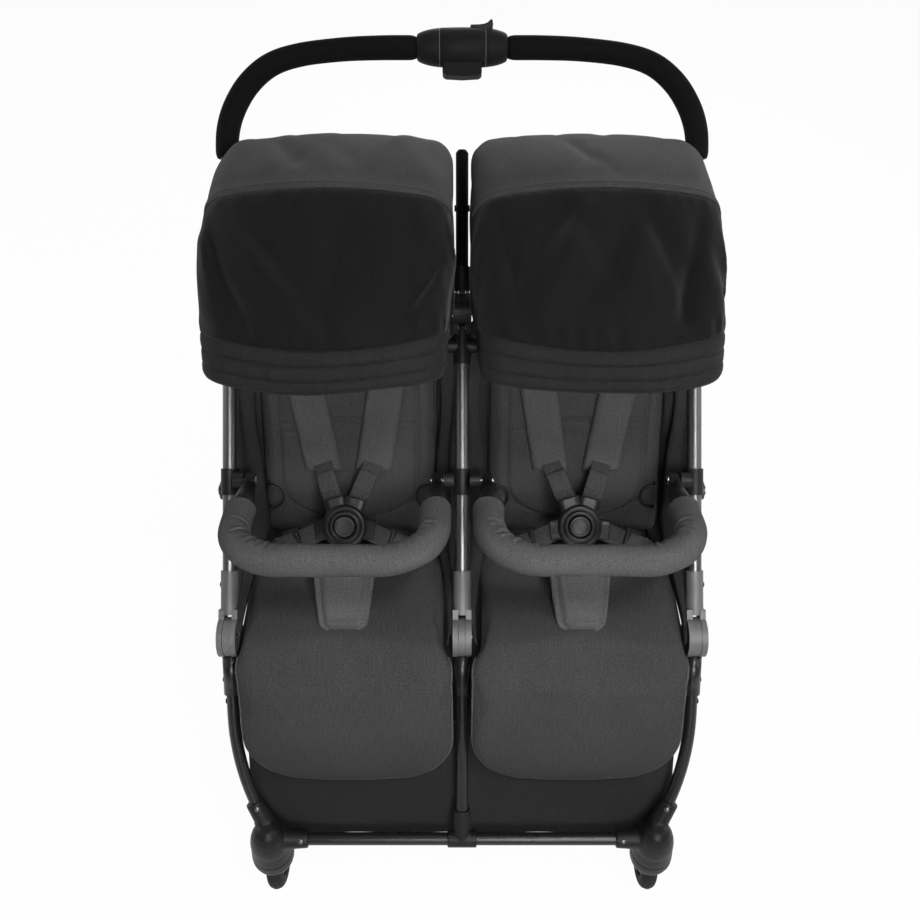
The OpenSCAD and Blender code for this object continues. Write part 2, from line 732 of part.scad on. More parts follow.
module control_housing() {
    color("black") on_arm() translate([0, 0, handle_rise]) difference() {
        rotate([0, 90, 0]) rotate_extrude()
            polygon([[handle_d / 2 + fit, -control_half], [grip_d / 2 + 1, -control_half],
                [control_d / 2 - 3, 20 - control_half], [control_d / 2, 34 - control_half],
                [control_d / 2, control_half - 34], [control_d / 2 - 3, control_half - 20],
                [grip_d / 2 + 1, control_half], [handle_d / 2 + fit, control_half]]);
        translate([-trigger_half - run_fit, -12 - run_fit, -control_d])
            cube([2 * (trigger_half + run_fit), 2 * (12 + run_fit), control_d - 10.5]);
        translate([10 - slide_travel - 1, -8 - run_fit, 19])
            cube([slide_len + slide_travel + 2, 2 * (8 + run_fit), 30]);
    }
}
module fold_trigger() {
    color("black") on_arm() translate([0, 0, handle_rise]) {
        translate([-trigger_half, -12, -46]) cube([2 * trigger_half, 24, 46 - 11 - trigger_travel]);
        for (i = [-5:5]) translate([i * 5 - 1, -13.2, -45]) cube([2, 2, 12]);
    }
}
module thumb_slide() {
    color("dimgray") on_arm() translate([10, 8, handle_rise + 19]) rotate([90, 0, 0])
        linear_extrude(16) polygon([[0, 0.4], [slide_len, 0.4], [slide_len, 16], [slide_len - 5, 17],
            [slide_len - 14, 10], [0, 9]]);
}

// Front frame: three legs, cross tube, hubs and corner housings
module front_legs() {
    color("dimgray") on_leg() {
        straight = leg_len - leg_end - leg_run;
        both() {
            translate([tube_pitch, 0, -straight]) pipe(leg_d, straight - leg_neck - blind);
            translate([tube_pitch - leg_bend_r, 0, -straight]) rotate([-90, 0, 0])
                bend(leg_bend_r, leg_bend_a, leg_d);
        }
        translate([0, 0, 14 - leg_len]) pipe(leg_d, leg_len - 14 - leg_neck - blind);
    }
}
module front_cross_tube() {
    color("dimgray") translate([-caster_x + 14, -cross_front, cross_z]) rotate([0, 90, 0])
        pipe(cross_d, 2 * (caster_x - 14));
}
module leg_joint_hubs() {
    color("darkslategray") on_leg() tubes() mirror([0, 0, 1])
        knuckle_hub(hub_r, leg_neck, leg_neck + 46, leg_d + 2 * fit);
}
module corner_housings() {
    color("black") {
        both() difference() {
            union() {
                translate([caster_x, -cross_front, 0]) {
                    translate([0, 0, bulb_z]) cylinder(r = bulb_r, h = cross_z - bulb_z + 8);
                    translate([0, 0, cross_z + 8]) scale(bulb_r / 26) sphere(r = 26);
                }
                translate([0, -cross_front, cross_z]) xrod(caster_x - 62, caster_x, cross_d + 7);
                on_leg() translate([leg_tip_x, 0, leg_end - leg_len]) rotate([0, leg_bend_a, 0])
                    translate([0, 0, -32]) cylinder(d = leg_d + 7, h = 70);
            }
            translate([0, -cross_front, cross_z]) xrod(0, caster_x - 14, cross_d + 2 * fit);
            on_leg() translate([tube_pitch - leg_bend_r, 0, leg_end + leg_run - leg_len]) rotate([-90, 0, 0])
                rotate_extrude(angle = leg_bend_a) translate([leg_bend_r, 0]) circle(d = leg_d + 2 * fit);
            translate([caster_x, -cross_front, bulb_z - 1]) cylinder(d = stem_d + 2 * run_fit, h = 34);
            translate([caster_x, -cross_front, bulb_z - 40]) cylinder(r = 2 * bulb_r, h = 40);
        }
        difference() {
            union() {
                translate([0, -cross_front, cross_z]) xrod(-22, 22, cross_d + 6);
                on_leg() translate([0, 0, -leg_len]) cylinder(d = leg_d + 6, h = 50);
            }
            translate([0, -cross_front, cross_z]) xrod(-80, 80, cross_d + 2 * fit);
            on_leg() translate([0, 0, 14 - leg_len]) cylinder(d = leg_d + 2 * fit, h = 80);
        }
    }
}

// Casters: fork with crown, stem and axle; rims and tyres
module caster_fork(side) {
    translate([side * caster_x, -cross_front, 0]) difference() {
        union() {
            difference() {
                translate([0, 0, crown_z - 18]) sphere(r = shroud_r);
                translate([0, 0, crown_z + crown_t]) cylinder(r = 2 * shroud_r, h = shroud_r);
            }
            translate([0, 0, crown_z]) cylinder(d = stem_d, h = crown_t + 26);
            for (sx = [-1, 1]) translate([sx * (front_half + 6) - 2.5, 0, 0]) {
                rotate([90, 0, 90]) linear_extrude(5) polygon([[-12, crown_z - 4], [18, crown_z - 4],
                    [trail + 12.8, axle_z + 5], [trail - 12.8, axle_z - 5]]);
                translate([0, trail, axle_z]) xrod(0, 5, 28);
            }
        }
        translate([0, trail, axle_z]) xrod(-front_half - 3, front_half + 3, 2 * front_r + 7);
    }
    translate([side * caster_x, trail - cross_front, axle_z])
        xrod(-front_half - 8, front_half + 8, small_axle_d);
}
module caster_fork_left() {
    color("black") caster_fork(-1);
}
module caster_fork_right() {
    color("black") caster_fork(1);
}
module on_front_wheel(side) {
    translate([side * caster_x, trail - cross_front, axle_z]) rotate([0, 90, 0]) children();
}
module on_rear_wheel(side) {
    translate([side * rear_x, rear_axle_y, rear_r]) rotate([0, 90, 0]) children();
}
module tyre(r, half, rim_r) {
    rotate_extrude() difference() {
        translate([r - half, 0]) circle(r = half);
        translate([0, -half - 1]) square([rim_r, 2 * half + 2]);
    }
}
module rim(rim_r, half, hub_half, bore) {
    difference() {
        union() {
            difference() {
                cylinder(r = rim_r - fit, h = 2 * half, center = true);
                cylinder(r = rim_r - 5, h = 2 * half + 2, center = true);
            }
            cylinder(r = rim_r - 4, h = half * 0.7, center = true);
            cylinder(r = bore + 3, h = 2 * hub_half, center = true);
        }
        cylinder(d = bore + 2 * run_fit, h = 100, center = true);
        for (i = [0:5]) rotate([0, 0, 60 * i]) translate([rim_r * 0.62, 0, 0])
            cylinder(r = rim_r * 0.19, h = 100, center = true);
    }
}
front_rim_r = front_r - 2 * front_half + 6;
rear_rim_r = rear_r - 2 * rear_half + 8;
module front_rim_left() {
    color("gray") on_front_wheel(-1) rim(front_rim_r, front_half - 5, front_half + 2.5, small_axle_d);
}
module front_rim_right() {
    color("gray") on_front_wheel(1) rim(front_rim_r, front_half - 5, front_half + 2.5, small_axle_d);
}
module front_tyre_left() {
    color("black") on_front_wheel(-1) tyre(front_r, front_half, front_rim_r);
}
module front_tyre_right() {
    color("black") on_front_wheel(1) tyre(front_r, front_half, front_rim_r);
}
module rear_rim_left() {
    color("gray") on_rear_wheel(-1) rim(rear_rim_r, rear_half - 6, rear_half + 2, axle_d);
}
module rear_rim_right() {
    color("gray") on_rear_wheel(1) rim(rear_rim_r, rear_half - 6, rear_half + 2, axle_d);
}
module rear_tyre_left() {
    color("black") on_rear_wheel(-1) tyre(rear_r, rear_half, rear_rim_r);
}
module rear_tyre_right() {
    color("black") on_rear_wheel(1) tyre(rear_r, rear_half, rear_rim_r);
}

// Rear frame: legs with flat pivot plates, cross tube, axles, brake pedal
module rear_legs() {
    color("dimgray") on_rear() both() difference() {
        union() {
            xrod(plate_in, plate_in + plate_t, 28);
            translate([plate_in, -7, -84]) cube([plate_t, 14, 84]);
            translate([rear_leg_x, 0, 8 - rear_len]) pipe(rear_leg_d, rear_len - 70);
            translate([0, 0, -rear_len]) xrod(rear_leg_x - 9, rear_leg_x + 11, 32);
        }
        xrod(plate_in - 1, plate_in + plate_t + 1, pin_d + 2 * run_fit);
        translate([0, 0, -rear_len]) xrod(rear_x, rear_leg_x + 6, axle_d + 2 * fit);
    }
}
module rear_cross_tube() {
    color("dimgray") on_rear() translate([0, 0, rear_cross_up - rear_len]) {
        difference() {
            translate([-rear_leg_x, 0, 0]) rotate([0, 90, 0]) pipe(rear_cross_d, 2 * rear_leg_x);
            both() translate([rear_leg_x, 0, -60]) cylinder(d = rear_leg_d + 2 * fit, h = 120);
            both() translate([rear_leg_x, -60, -60]) cube([60, 120, 120]);
        }
        difference() {
            both() translate([pedal_half + 0.6, 0, 0]) {
                translate([0, 26, 0]) xrod(0, 6, 18);
                translate([0, 0, -9]) cube([6, 26, 18]);
            }
            xrod(-rear_leg_x, rear_leg_x, rear_cross_d - 0.5);
            translate([0, 26, 0]) xrod(-rear_leg_x, rear_leg_x, peg_d + 2 * fit);
        }
        translate([0, 26, 0]) xrod(-pedal_half - 7, pedal_half + 7, peg_d);
    }
}
module rear_axles() {
    color("silver") both() translate([0, rear_axle_y, rear_r]) {
        xrod(rear_x - rear_half - 4, rear_leg_x + 5, axle_d);
        xrod(rear_x - rear_half - 6, rear_x - rear_half - 3, axle_d + 6);
    }
}
module brake_pedal() {
    color("black") on_rear() translate([0, 26, rear_cross_up - rear_len]) difference() {
        union() {
            xrod(-pedal_half, pedal_half, 16);
            translate([-pedal_half, 0, -4]) cube([2 * pedal_half, 52, 8]);
        }
        xrod(-100, 100, peg_d + 2 * run_fit);
    }
}

// Backrests: board with hinge barrels, quilted pad, shoulder harness
module backrest_board() {
    on_back() difference() {
        union() {
            translate([-back_half, -board_t / 2, 16]) cube([2 * back_half, board_t, back_len - 20]);
            both() {
                xrod(back_half - 10, back_half, 18);
                translate([back_half - 10, -board_t / 2, 0]) cube([10, board_t, 20]);
            }
        }
        xrod(-200, 200, peg_d + 2 * run_fit);
    }
}
module backrest_board_left() {
    color("black") at_seat(-1) backrest_board();
}
module backrest_board_right() {
    color("black") at_seat(1) backrest_board();
}
function back_face(x, z) = board_t / 2 + 7 + (back_t - 7) * round_in(back_half - abs(x), 30)
    * round_in(z - 32, 30) * round_in(back_len - z, 40)
    - 4 * dip(z - 190, 26) * dip(x, 90);
module backrest_pad() {
    on_back() soft(14, 14,
        function(u, v) let (x = back_half * spread(u), z = (back_len + 32) / 2 + (back_len - 32) / 2 * spread(v))
            [x, -back_face(x, z), z],
        function(u, v) let (x = back_half * spread(u), z = (back_len + 32) / 2 + (back_len - 32) / 2 * spread(v))
            [x * 0.985, -board_t / 2, z]);
}
module backrest_pad_left() {
    color("darkslategray") at_seat(-1) backrest_pad();
}
module backrest_pad_right() {
    color("darkslategray") at_seat(1) backrest_pad();
}
function pad_x(u, z) = strap_out + 0.17 * (z - shoulder_low) + 27 * spread(u);
module shoulder_harness() {
    on_back() both() soft(4, 9,
        function(u, v) let (z = shoulder_low + shoulder_len * v, x = pad_x(u, z))
            [x, -back_face(x, z) - 5 - 9 * round_in(min(u, 1 - u) * 2, 0.6) * round_in(min(v, 1 - v) * 2, 0.2), z],
        function(u, v) let (z = shoulder_low + shoulder_len * v, x = pad_x(u, z))
            [x, -back_face(x, z) - 0.75, z]);
}
module shoulder_harness_left() {
    color("black") at_seat(-1) shoulder_harness();
}
module shoulder_harness_right() {
    color("black") at_seat(1) shoulder_harness();
}

// Leg rests: soft panels with round lower corners, hinged to the seat pans
function rest_half(z) = let (d = z + rest_len) pad_half - rest_r + rest_r * round_in(d + 3, rest_r);
function rest_face(x, z) = 8 + (rest_t - 14) * round_in(rest_half(z) - abs(x), 24)
    * round_in(z + rest_len, 30) * round_in(-6 - z, 22);
module leg_rest() {
    on_rest() {
        soft(12, 10,
            function(u, v) let (z = -(rest_len + 8) / 2 + (rest_len - 8) / 2 * spread(v), x = rest_half(z) * spread(u))
                [x, -rest_face(x, z), z],
            function(u, v) let (z = -(rest_len + 8) / 2 + (rest_len - 8) / 2 * spread(v), x = rest_half(z) * spread(u))
                [x * 0.985, 6, z]);
        both() difference() {
            union() {
                xrod(108.5, 125, knuckle_d);
                translate([108.5, -4, -14]) cube([16.5, 8, 14]);
            }
            xrod(60, 160, knuckle_pin + 2 * run_fit);
        }
    }
}
module leg_rest_left() {
    color("darkslategray") at_seat(-1) leg_rest();
}
module leg_rest_right() {
    color("darkslategray") at_seat(1) leg_rest();
}

// Bumper bars: bent tube with flat arms, and a padded cover drawn at the bends
module bumper_bar() {
    on_bumper() {
        both() {
            difference() {
                union() {
                    xrod(bumper_half - 6, bumper_half + 6, 20);
                    translate([bumper_half - 6, -arm_len - 8, -9]) cube([12, arm_len + 8, 18]);
                }
                xrod(0, 200, peg_d + 2 * run_fit);
            }
            translate([bumper_half, -arm_len - 7.5, 0]) rotate([90, 0, 0])
                cylinder(d = bumper_d, h = bumper_reach - bumper_bend - arm_len - 7.5);
            translate([bumper_half - bumper_bend, bumper_bend - bumper_reach, 0]) rotate([0, 0, -90])
                rotate_extrude(angle = 90) translate([bumper_bend, 0]) circle(d = bumper_d);
        }
        translate([0, -bumper_reach, 0]) xrod(bumper_bend - bumper_half, bumper_half - bumper_bend, bumper_d);
    }
}
module bumper_bar_left() {
    color("black") at_seat(-1) bumper_bar();
}
module bumper_bar_right() {
    color("black") at_seat(1) bumper_bar();
}
module bumper_cover() {
    on_bumper() difference() {
        union() {
            both() {
                translate([bumper_half, -arm_len - 9, 0]) rotate([90, 0, 0])
                    cylinder(d = cover_d, h = bumper_reach - bumper_bend - arm_len - 9);
                translate([bumper_half - bumper_bend, bumper_bend - bumper_reach, 0]) rotate([0, 0, -90])
                    rotate_extrude(angle = 90) translate([bumper_bend, 0]) circle(d = cover_d);
            }
            translate([0, -bumper_reach, 0]) xrod(bumper_bend - bumper_half, bumper_half - bumper_bend, cover_d);
        }
        both() {
            translate([bumper_half, -arm_len + 1, 0]) rotate([90, 0, 0])
                cylinder(d = bumper_d + 2 * fit, h = bumper_reach - bumper_bend - arm_len + 1);
            translate([bumper_half - bumper_bend, bumper_bend - bumper_reach, 0]) rotate([0, 0, -90])
                rotate_extrude(angle = 90) translate([bumper_bend, 0]) circle(d = bumper_d + 2 * fit);
        }
        translate([0, -bumper_reach, 0])
            xrod(bumper_bend - bumper_half, bumper_half - bumper_bend, bumper_d + 2 * fit);
    }
}
module bumper_cover_left() {
    color("dimgray") at_seat(-1) bumper_cover();
}
module bumper_cover_right() {
    color("dimgray") at_seat(1) bumper_cover();
}

seat_tubes();
leg_joint_shells();
upper_hinge_forks();
hinge_pins();
tube_brackets();
seat_rails();
seat_pans();
seat_pad_left();
seat_pad_right();
seat_side_panels();
canopy_rear_bows();
harness_webbing();
crotch_pads();
harness_buckles();
storage_basket();
canopy_fabric_left();
canopy_fabric_right();
buckle_button_left();
buckle_button_right();
handle_bar();
centre_post();
handle_grips();
handle_hubs();
control_housing();
fold_trigger();
thumb_slide();
front_legs();
front_cross_tube();
leg_joint_hubs();
corner_housings();
caster_fork_left();
caster_fork_right();
front_rim_left();
front_rim_right();
front_tyre_left();
front_tyre_right();
rear_legs();
rear_cross_tube();
rear_axles();
brake_pedal();
rear_rim_left();
rear_rim_right();
rear_tyre_left();
rear_tyre_right();
canopy_middle_bow_left();
canopy_middle_bow_right();
canopy_front_bow_left();
canopy_front_bow_right();
backrest_board_left();
backrest_board_right();
backrest_pad_left();
backrest_pad_right();
shoulder_harness_left();
shoulder_harness_right();
leg_rest_left();
leg_rest_right();
bumper_bar_left();
bumper_bar_right();
bumper_cover_left();
bumper_cover_right();
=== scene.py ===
import math

import bmesh
import bpy
import numpy as np
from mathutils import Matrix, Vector
from mathutils.bvhtree import BVHTree


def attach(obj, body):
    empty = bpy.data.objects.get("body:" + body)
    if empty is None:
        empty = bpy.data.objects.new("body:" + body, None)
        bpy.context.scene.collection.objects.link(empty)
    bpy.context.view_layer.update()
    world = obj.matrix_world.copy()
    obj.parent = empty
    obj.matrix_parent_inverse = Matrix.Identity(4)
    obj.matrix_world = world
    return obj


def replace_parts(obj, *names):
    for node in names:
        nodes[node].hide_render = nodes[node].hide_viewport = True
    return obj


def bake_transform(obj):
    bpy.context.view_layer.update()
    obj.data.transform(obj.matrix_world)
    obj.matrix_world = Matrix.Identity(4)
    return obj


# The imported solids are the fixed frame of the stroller. Everything below is
# a finish for them, or a sewn or moulded piece fitted over them.
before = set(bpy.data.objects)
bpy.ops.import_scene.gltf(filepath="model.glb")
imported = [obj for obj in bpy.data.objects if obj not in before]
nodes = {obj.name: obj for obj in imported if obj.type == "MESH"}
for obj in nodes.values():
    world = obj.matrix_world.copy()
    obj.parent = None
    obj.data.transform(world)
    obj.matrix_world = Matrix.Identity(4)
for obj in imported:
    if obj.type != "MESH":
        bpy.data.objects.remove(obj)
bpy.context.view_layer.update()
scene = bpy.context.scene
scene.view_settings.view_transform = "Standard"

# Camera: in front of the seats and above them, looking 44 degrees down, with
# a lens of 1000 pixels on the photograph's 920.
camera = bpy.data.objects.new("camera", bpy.data.cameras.new("camera"))
camera.data.sensor_width = 36
camera.data.lens = 36 * 1000 / 920
camera.location = (-0.003, -1.1, 1.61)
camera.rotation_euler = (math.radians(45.97), 0, 0)
scene.collection.objects.link(camera)
scene.camera = camera


class Tone:
    """A socket of a node tree: sums and products of Tones add Math nodes, node() adds any other."""

    def __init__(self, tree, socket=None):
        self.tree = tree
        self.socket = socket

    def node(self, kind, settings=None, sockets=None, out=0):
        made = self.tree.nodes.new(kind)
        for name, value in (settings or {}).items():
            if name == "stops":
                ramp = made.color_ramp.elements
                while len(ramp) < len(value):
                    ramp.new(0.5)
                for stop, (place, grey) in zip(ramp, value):
                    stop.position = place
                    stop.color = (grey, grey, grey, 1)
            else:
                setattr(made, name, value)
        for name, value in (sockets or {}).items():
            if isinstance(value, Tone):
                self.tree.links.new(value.socket, made.inputs[name])
            else:
                made.inputs[name].default_value = value
        return Tone(self.tree, made.outputs[out]) if made.outputs else made

    def math(self, operation, other=0.5, swap=False):
        first, second = (other, self) if swap else (self, other)
        return self.node("ShaderNodeMath", {"operation": operation}, {0: first, 1: second})

    def __add__(self, other):
        return self.math("ADD", other)

    def __sub__(self, other):
        return self.math("SUBTRACT", other)

    def __rsub__(self, other):
        return self.math("SUBTRACT", other, True)

    def __mul__(self, other):
        return self.math("MULTIPLY", other)

    __radd__ = __add__
    __rmul__ = __mul__


# Studio: a pale sweep of floor that keeps the stroller's shadow, white all
# round, with soft lamps above, in front and behind, and others at both sides.
def soft_box(name, place, aim, size, power, spread=180):
    lamp = bpy.data.objects.new(name, bpy.data.lights.new(name, "AREA"))
    lamp.data.shape = "RECTANGLE"
    lamp.data.size, lamp.data.size_y = size
    lamp.data.energy = power
    lamp.data.spread = math.radians(spread)
    lamp.location = place
    lamp.rotation_mode = "QUATERNION"
    lamp.rotation_quaternion = (Vector(aim) - Vector(place)).to_track_quat("-Z", "Y")
    scene.collection.objects.link(lamp)


soft_box("softbox_top", (0.2, 0.5, 3.0), (0, 0.05, 0.7), (2.2, 1.2), 3.0)
soft_box("softbox_front", (0.4, -2.3, 2.05), (0.03, 0.0, 0.72), (1.1, 0.8), 9.5, 74)
soft_box("softbox_high", (0.6, -1.2, 2.6), (0.0, -0.3, 0.45), (0.35, 0.35), 2.4, 60)
soft_box("softbox_low", (0.3, -2.6, 1.0), (0.0, -0.2, 0.6), (1.2, 0.5), 1.8, 90)
soft_box("softbox_left", (-2.2, -0.7, 1.9), (0, 0, 0.6), (0.12, 1.8), 4)
soft_box("softbox_right", (2.2, -0.7, 1.9), (0, 0, 0.6), (0.22, 1.8), 9)
soft_box("softbox_back", (0.4, 2.6, 1.3), (0, 0, 0.5), (1.6, 1.0), 26)
for x in (-2.3, 2.3):
    soft_box("softbox_side", (x, 0.75, 1.15), (0, 0.05, 0.5), (1.0, 1.2), 12)


def seen_directly(start, behind=1.0):
    """1 for what the camera sees, and for gloss and clear parts where the white lies behind; 0 for light."""
    path = [start.node("ShaderNodeLightPath", None, None, name)
            for name in ("Is Camera Ray", "Is Glossy Ray", "Is Transmission Ray")]
    return path[0].math("MAXIMUM", path[1].math("MAXIMUM", path[2]) * behind)


scene.world = bpy.data.worlds.new("studio")
scene.world.use_nodes = True
scene.world.node_tree.nodes.clear()
studio = Tone(scene.world.node_tree)
to_back = studio.node("ShaderNodeSeparateXYZ", None, {0: studio.node("ShaderNodeTexCoord")}, 1)
white_behind = studio.node("ShaderNodeMapRange", None, {0: to_back, 1: -0.1, 2: 0.5, 3: 0.12, 4: 1.0})
studio.node("ShaderNodeOutputWorld", None, {"Surface": studio.node("ShaderNodeBackground", None, {
    "Color": (1, 1, 1, 1), "Strength": 0.03 + 0.97 * seen_directly(studio, white_behind)})})

floor_mesh = bpy.data.meshes.new("floor")
floor_mesh.from_pydata([(-9, -9, 0), (9, -9, 0), (9, 9, 0), (-9, 9, 0)], [], [(0, 1, 2, 3)])
floor = bpy.data.objects.new("floor", floor_mesh)
scene.collection.objects.link(floor)
floor_paint = bpy.data.materials.new("pale_floor")
floor_paint.use_nodes = True
floor_paint.node_tree.nodes.clear()
paint = Tone(floor_paint.node_tree)
paint.node("ShaderNodeOutputMaterial", None, {"Surface": paint.node("ShaderNodeMixShader", None, {
    0: 0.97 * seen_directly(paint),
    1: paint.node("ShaderNodeBsdfDiffuse", None, {"Color": (0.86, 0.86, 0.86, 1)}),
    2: paint.node("ShaderNodeEmission", None, {"Color": (1, 1, 1, 1), "Strength": 1.0})})})
floor_mesh.materials.append(floor_paint)


# Finishes of the hard parts: grey anodised tube, dark legs, satin joint shells,
# grained black plastic, steel pins, wheel plastic and tyre rubber.
def hard_finish(name, dark, light, roughness, grain, depth, metallic=0.0, specular=0.5):
    material = bpy.data.materials.new(name)
    material.use_nodes = True
    material.node_tree.nodes.clear()
    start = Tone(material.node_tree)
    place = start.node("ShaderNodeTexCoord", None, None, "Object")
    fine = start.node("ShaderNodeTexNoise", None, {"Vector": place, "Scale": grain, "Detail": 3.0})
    broad = start.node("ShaderNodeTexNoise", None, {"Vector": place, "Scale": 9.0, "Detail": 4.0})
    rubbed = start.node("ShaderNodeTexNoise", None, {"Vector": place, "Scale": 55.0, "Detail": 5.0})
    worn = start.node("ShaderNodeValToRGB", {"stops": [(0.62, 0.0), (0.74, 1.0)]}, {"Fac": rubbed})
    colour = start.node("ShaderNodeMix", {"data_type": "RGBA"}, {
        0: 0.55 * broad + 0.35 * fine, 6: (*dark, 1), 7: (*light, 1)}, 2)
    start.node("ShaderNodeOutputMaterial", None, {"Surface": start.node("ShaderNodeBsdfPrincipled", None, {
        "Base Color": colour, "Metallic": metallic, "Specular IOR Level": specular,
        "Roughness": roughness - 0.06 + 0.16 * broad - 0.05 * worn,
        "Normal": start.node("ShaderNodeBump", None, {
            "Strength": 0.35, "Distance": depth, "Height": fine})})})
    return material


anodised = hard_finish("anodised_tube", (0.115, 0.115, 0.119), (0.180, 0.180, 0.185), 0.33, 2600, 0.0,
                       metallic=0.92)
leg_black = hard_finish("leg_black", (0.014, 0.014, 0.015), (0.028, 0.028, 0.030), 0.27, 2600, 0.00005,
                        metallic=0.4)
joint_satin = hard_finish("joint_satin", (0.120, 0.120, 0.123), (0.190, 0.190, 0.194), 0.50, 1500, 0.00008,
                          metallic=0.30, specular=0.25)
black_plastic = hard_finish("black_plastic", (0.0055, 0.0055, 0.006), (0.014, 0.014, 0.0145), 0.44, 1300,
                            0.00012, specular=0.22)
post_black = hard_finish("post_black", (0.0022, 0.0022, 0.0022), (0.005, 0.005, 0.005), 0.60, 1300, 0.00012,
                         specular=0.05)
pin_steel = hard_finish("pin_steel", (0.16, 0.16, 0.165), (0.26, 0.26, 0.265), 0.24, 2200, 0.00003,
                        metallic=0.9)
wheel_plastic = hard_finish("wheel_plastic", (0.020, 0.020, 0.021), (0.038, 0.038, 0.040), 0.40, 1100, 0.0001)
tyre_rubber = hard_finish("tyre_rubber", (0.008, 0.008, 0.008), (0.020, 0.020, 0.020), 0.78, 800, 0.0003,
                          specular=0.3)


def dress(material, *names):
    """Gives carried-over solids their finish."""
    for name in names:
        nodes[name].data.materials.clear()
        nodes[name].data.materials.append(material)


SIDES = (("left", -1), ("right", 1))
TUBE_X = 0.335
dress(anodised, "seat_tubes", "handle_bar")
dress(leg_black, "front_legs", "rear_legs", "front_cross_tube", "rear_cross_tube")
dress(joint_satin, "leg_joint_shells", "leg_joint_hubs")
dress(black_plastic, "upper_hinge_forks", "handle_hubs", "tube_brackets", "seat_rails", "seat_pans",
      "canopy_rear_bows", "brake_pedal")
dress(post_black, "centre_post")
dress(pin_steel, "hinge_pins", "rear_axles")
for side, sign in SIDES:
    dress(black_plastic, "caster_fork_" + side, "canopy_middle_bow_" + side, "canopy_front_bow_" + side,
          "backrest_board_" + side, "bumper_bar_" + side)
    dress(wheel_plastic, "front_rim_" + side, "rear_rim_" + side)


# Rivets: black heads on the sides of the legs and the seat tubes, one round
# head set on each point and turned to face out of its tube.
def leaning(angle, y, z):
    """Places points of a part that leans by angle about X at (y, z), in metres."""
    c, s = math.cos(math.radians(angle)), math.sin(math.radians(angle))

    def place(px, py, pz):
        px, py, pz = np.broadcast_arrays(np.asarray(px, float), py, pz)
        return np.stack([px, y + py * c - pz * s, z + py * s + pz * c], -1)

    return place


on_tube = leaning(-44, -0.240, 0.425)
on_leg = leaning(-32, -0.240, 0.425)
on_arm = leaning(-40.5, 0.08649, 0.76309)


def piece_from(name, points, faces, material, smooth=True):
    """A plain mesh object with its place in its mesh."""
    mesh = bpy.data.meshes.new(name)
    mesh.from_pydata([tuple(p) for p in np.asarray(points).reshape(-1, 3)], [], [tuple(f) for f in faces])
    if material:
        mesh.materials.append(material)
    mesh.polygons.foreach_set("use_smooth", [smooth] * len(mesh.polygons))
    mesh.update()
    piece = bpy.data.objects.new(name, mesh)
    scene.collection.objects.link(piece)
    return piece


def settled(piece, tree=None, inputs=None):
    """Turns a piece and its modifiers into one plain mesh; inputs go to a node tree's sockets by name."""
    if tree:
        grown = piece.modifiers.new("grown", "NODES")
        grown.node_group = tree
        for item in tree.interface.items_tree:
            if item.in_out == "INPUT" and item.name in (inputs or {}):
                grown[item.identifier] = inputs[item.name]
    bpy.context.view_layer.update()
    made = piece.evaluated_get(bpy.context.evaluated_depsgraph_get())
    mesh = bpy.data.meshes.new_from_object(made, preserve_all_data_layers=True,
                                           depsgraph=bpy.context.evaluated_depsgraph_get())
    piece.modifiers.clear()
    piece.data = mesh
    return piece


def scatter_tree(name, build, inputs):
    """A node tree that sets what build() makes on every point, its Z along the aim attribute."""
    tree = bpy.data.node_groups.new(name, "GeometryNodeTree")
    tree.interface.new_socket("Geometry", in_out="INPUT", socket_type="NodeSocketGeometry")
    tree.interface.new_socket("Geometry", in_out="OUTPUT", socket_type="NodeSocketGeometry")
    for label, kind in inputs.items():
        tree.interface.new_socket(label, in_out="INPUT", socket_type=kind)
    start = Tone(tree)
    group = tree.nodes.new("NodeGroupInput")
    given = {label: Tone(tree, group.outputs[label]) for label in ["Geometry", *inputs]}
    aim = start.node("GeometryNodeInputNamedAttribute", {"data_type": "FLOAT_VECTOR"}, {"Name": "aim"})
    turn = start.node("FunctionNodeAlignRotationToVector", {"axis": "Z"}, {"Vector": aim})
    shape = build(start, given)
    placed = start.node("GeometryNodeInstanceOnPoints", None, {
        "Points": given["Geometry"], "Instance": shape, "Rotation": turn})
    real = start.node("GeometryNodeRealizeInstances", None, {"Geometry": placed})
    real = start.node("GeometryNodeSetMaterial", None, {"Geometry": real, "Material": given["Material"]})
    start.node("NodeGroupOutput", None, {"Geometry": real})
    return tree


def rivet_shape(start, given):
    ball = start.node("GeometryNodeMeshUVSphere", None, {
        "Segments": 14, "Rings": 9, "Radius": given["Radius"]})
    return start.node("GeometryNodeTransform", None, {"Geometry": ball, "Scale": (1.0, 1.0, 0.42)})


rivet_tree = scatter_tree("rivet_heads", rivet_shape,
                          {"Radius": "NodeSocketFloat", "Material": "NodeSocketMaterial"})


def scattered(name, places, aims, tree, inputs):
    """What a node tree sets on each place, turned to its aim, as one mesh."""
    spread = piece_from(name, places, [], None)
    aim = spread.data.attributes.new("aim", "FLOAT_VECTOR", "POINT")
    aim.data.foreach_set("vector", np.ravel(aims))
    return settled(spread, tree, inputs)


def rivets(name, places, aims, radius, material, body):
    """Round heads on one body."""
    heads = scattered(name, places, aims, rivet_tree, {"Radius": radius, "Material": material})
    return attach(heads, body)


leg_rivets, leg_aims = [], []
for x, out in ((-TUBE_X, -1), (TUBE_X, 1), (0.0, 1)):
    for along in (-0.066, -0.100):
        leg_rivets.append(on_leg(x + out * (0.0115 if along > -0.09 else 0.009), 0, along))
        leg_aims.append((out, 0, 0))
rivets("leg_rivets", leg_rivets, leg_aims, 0.0042, post_black, "front_frame")
tube_rivets, tube_aims = [], []
for x, out in ((-TUBE_X, -1), (TUBE_X, 1)):
    for along in (0.075, 0.128):
        tube_rivets.append(on_tube(x + out * (0.0123 if along < 0.09 else 0.0098), 0, along))
        tube_aims.append((out, 0, 0))
rivets("tube_rivets", tube_rivets, tube_aims, 0.0042, post_black, "main_frame")


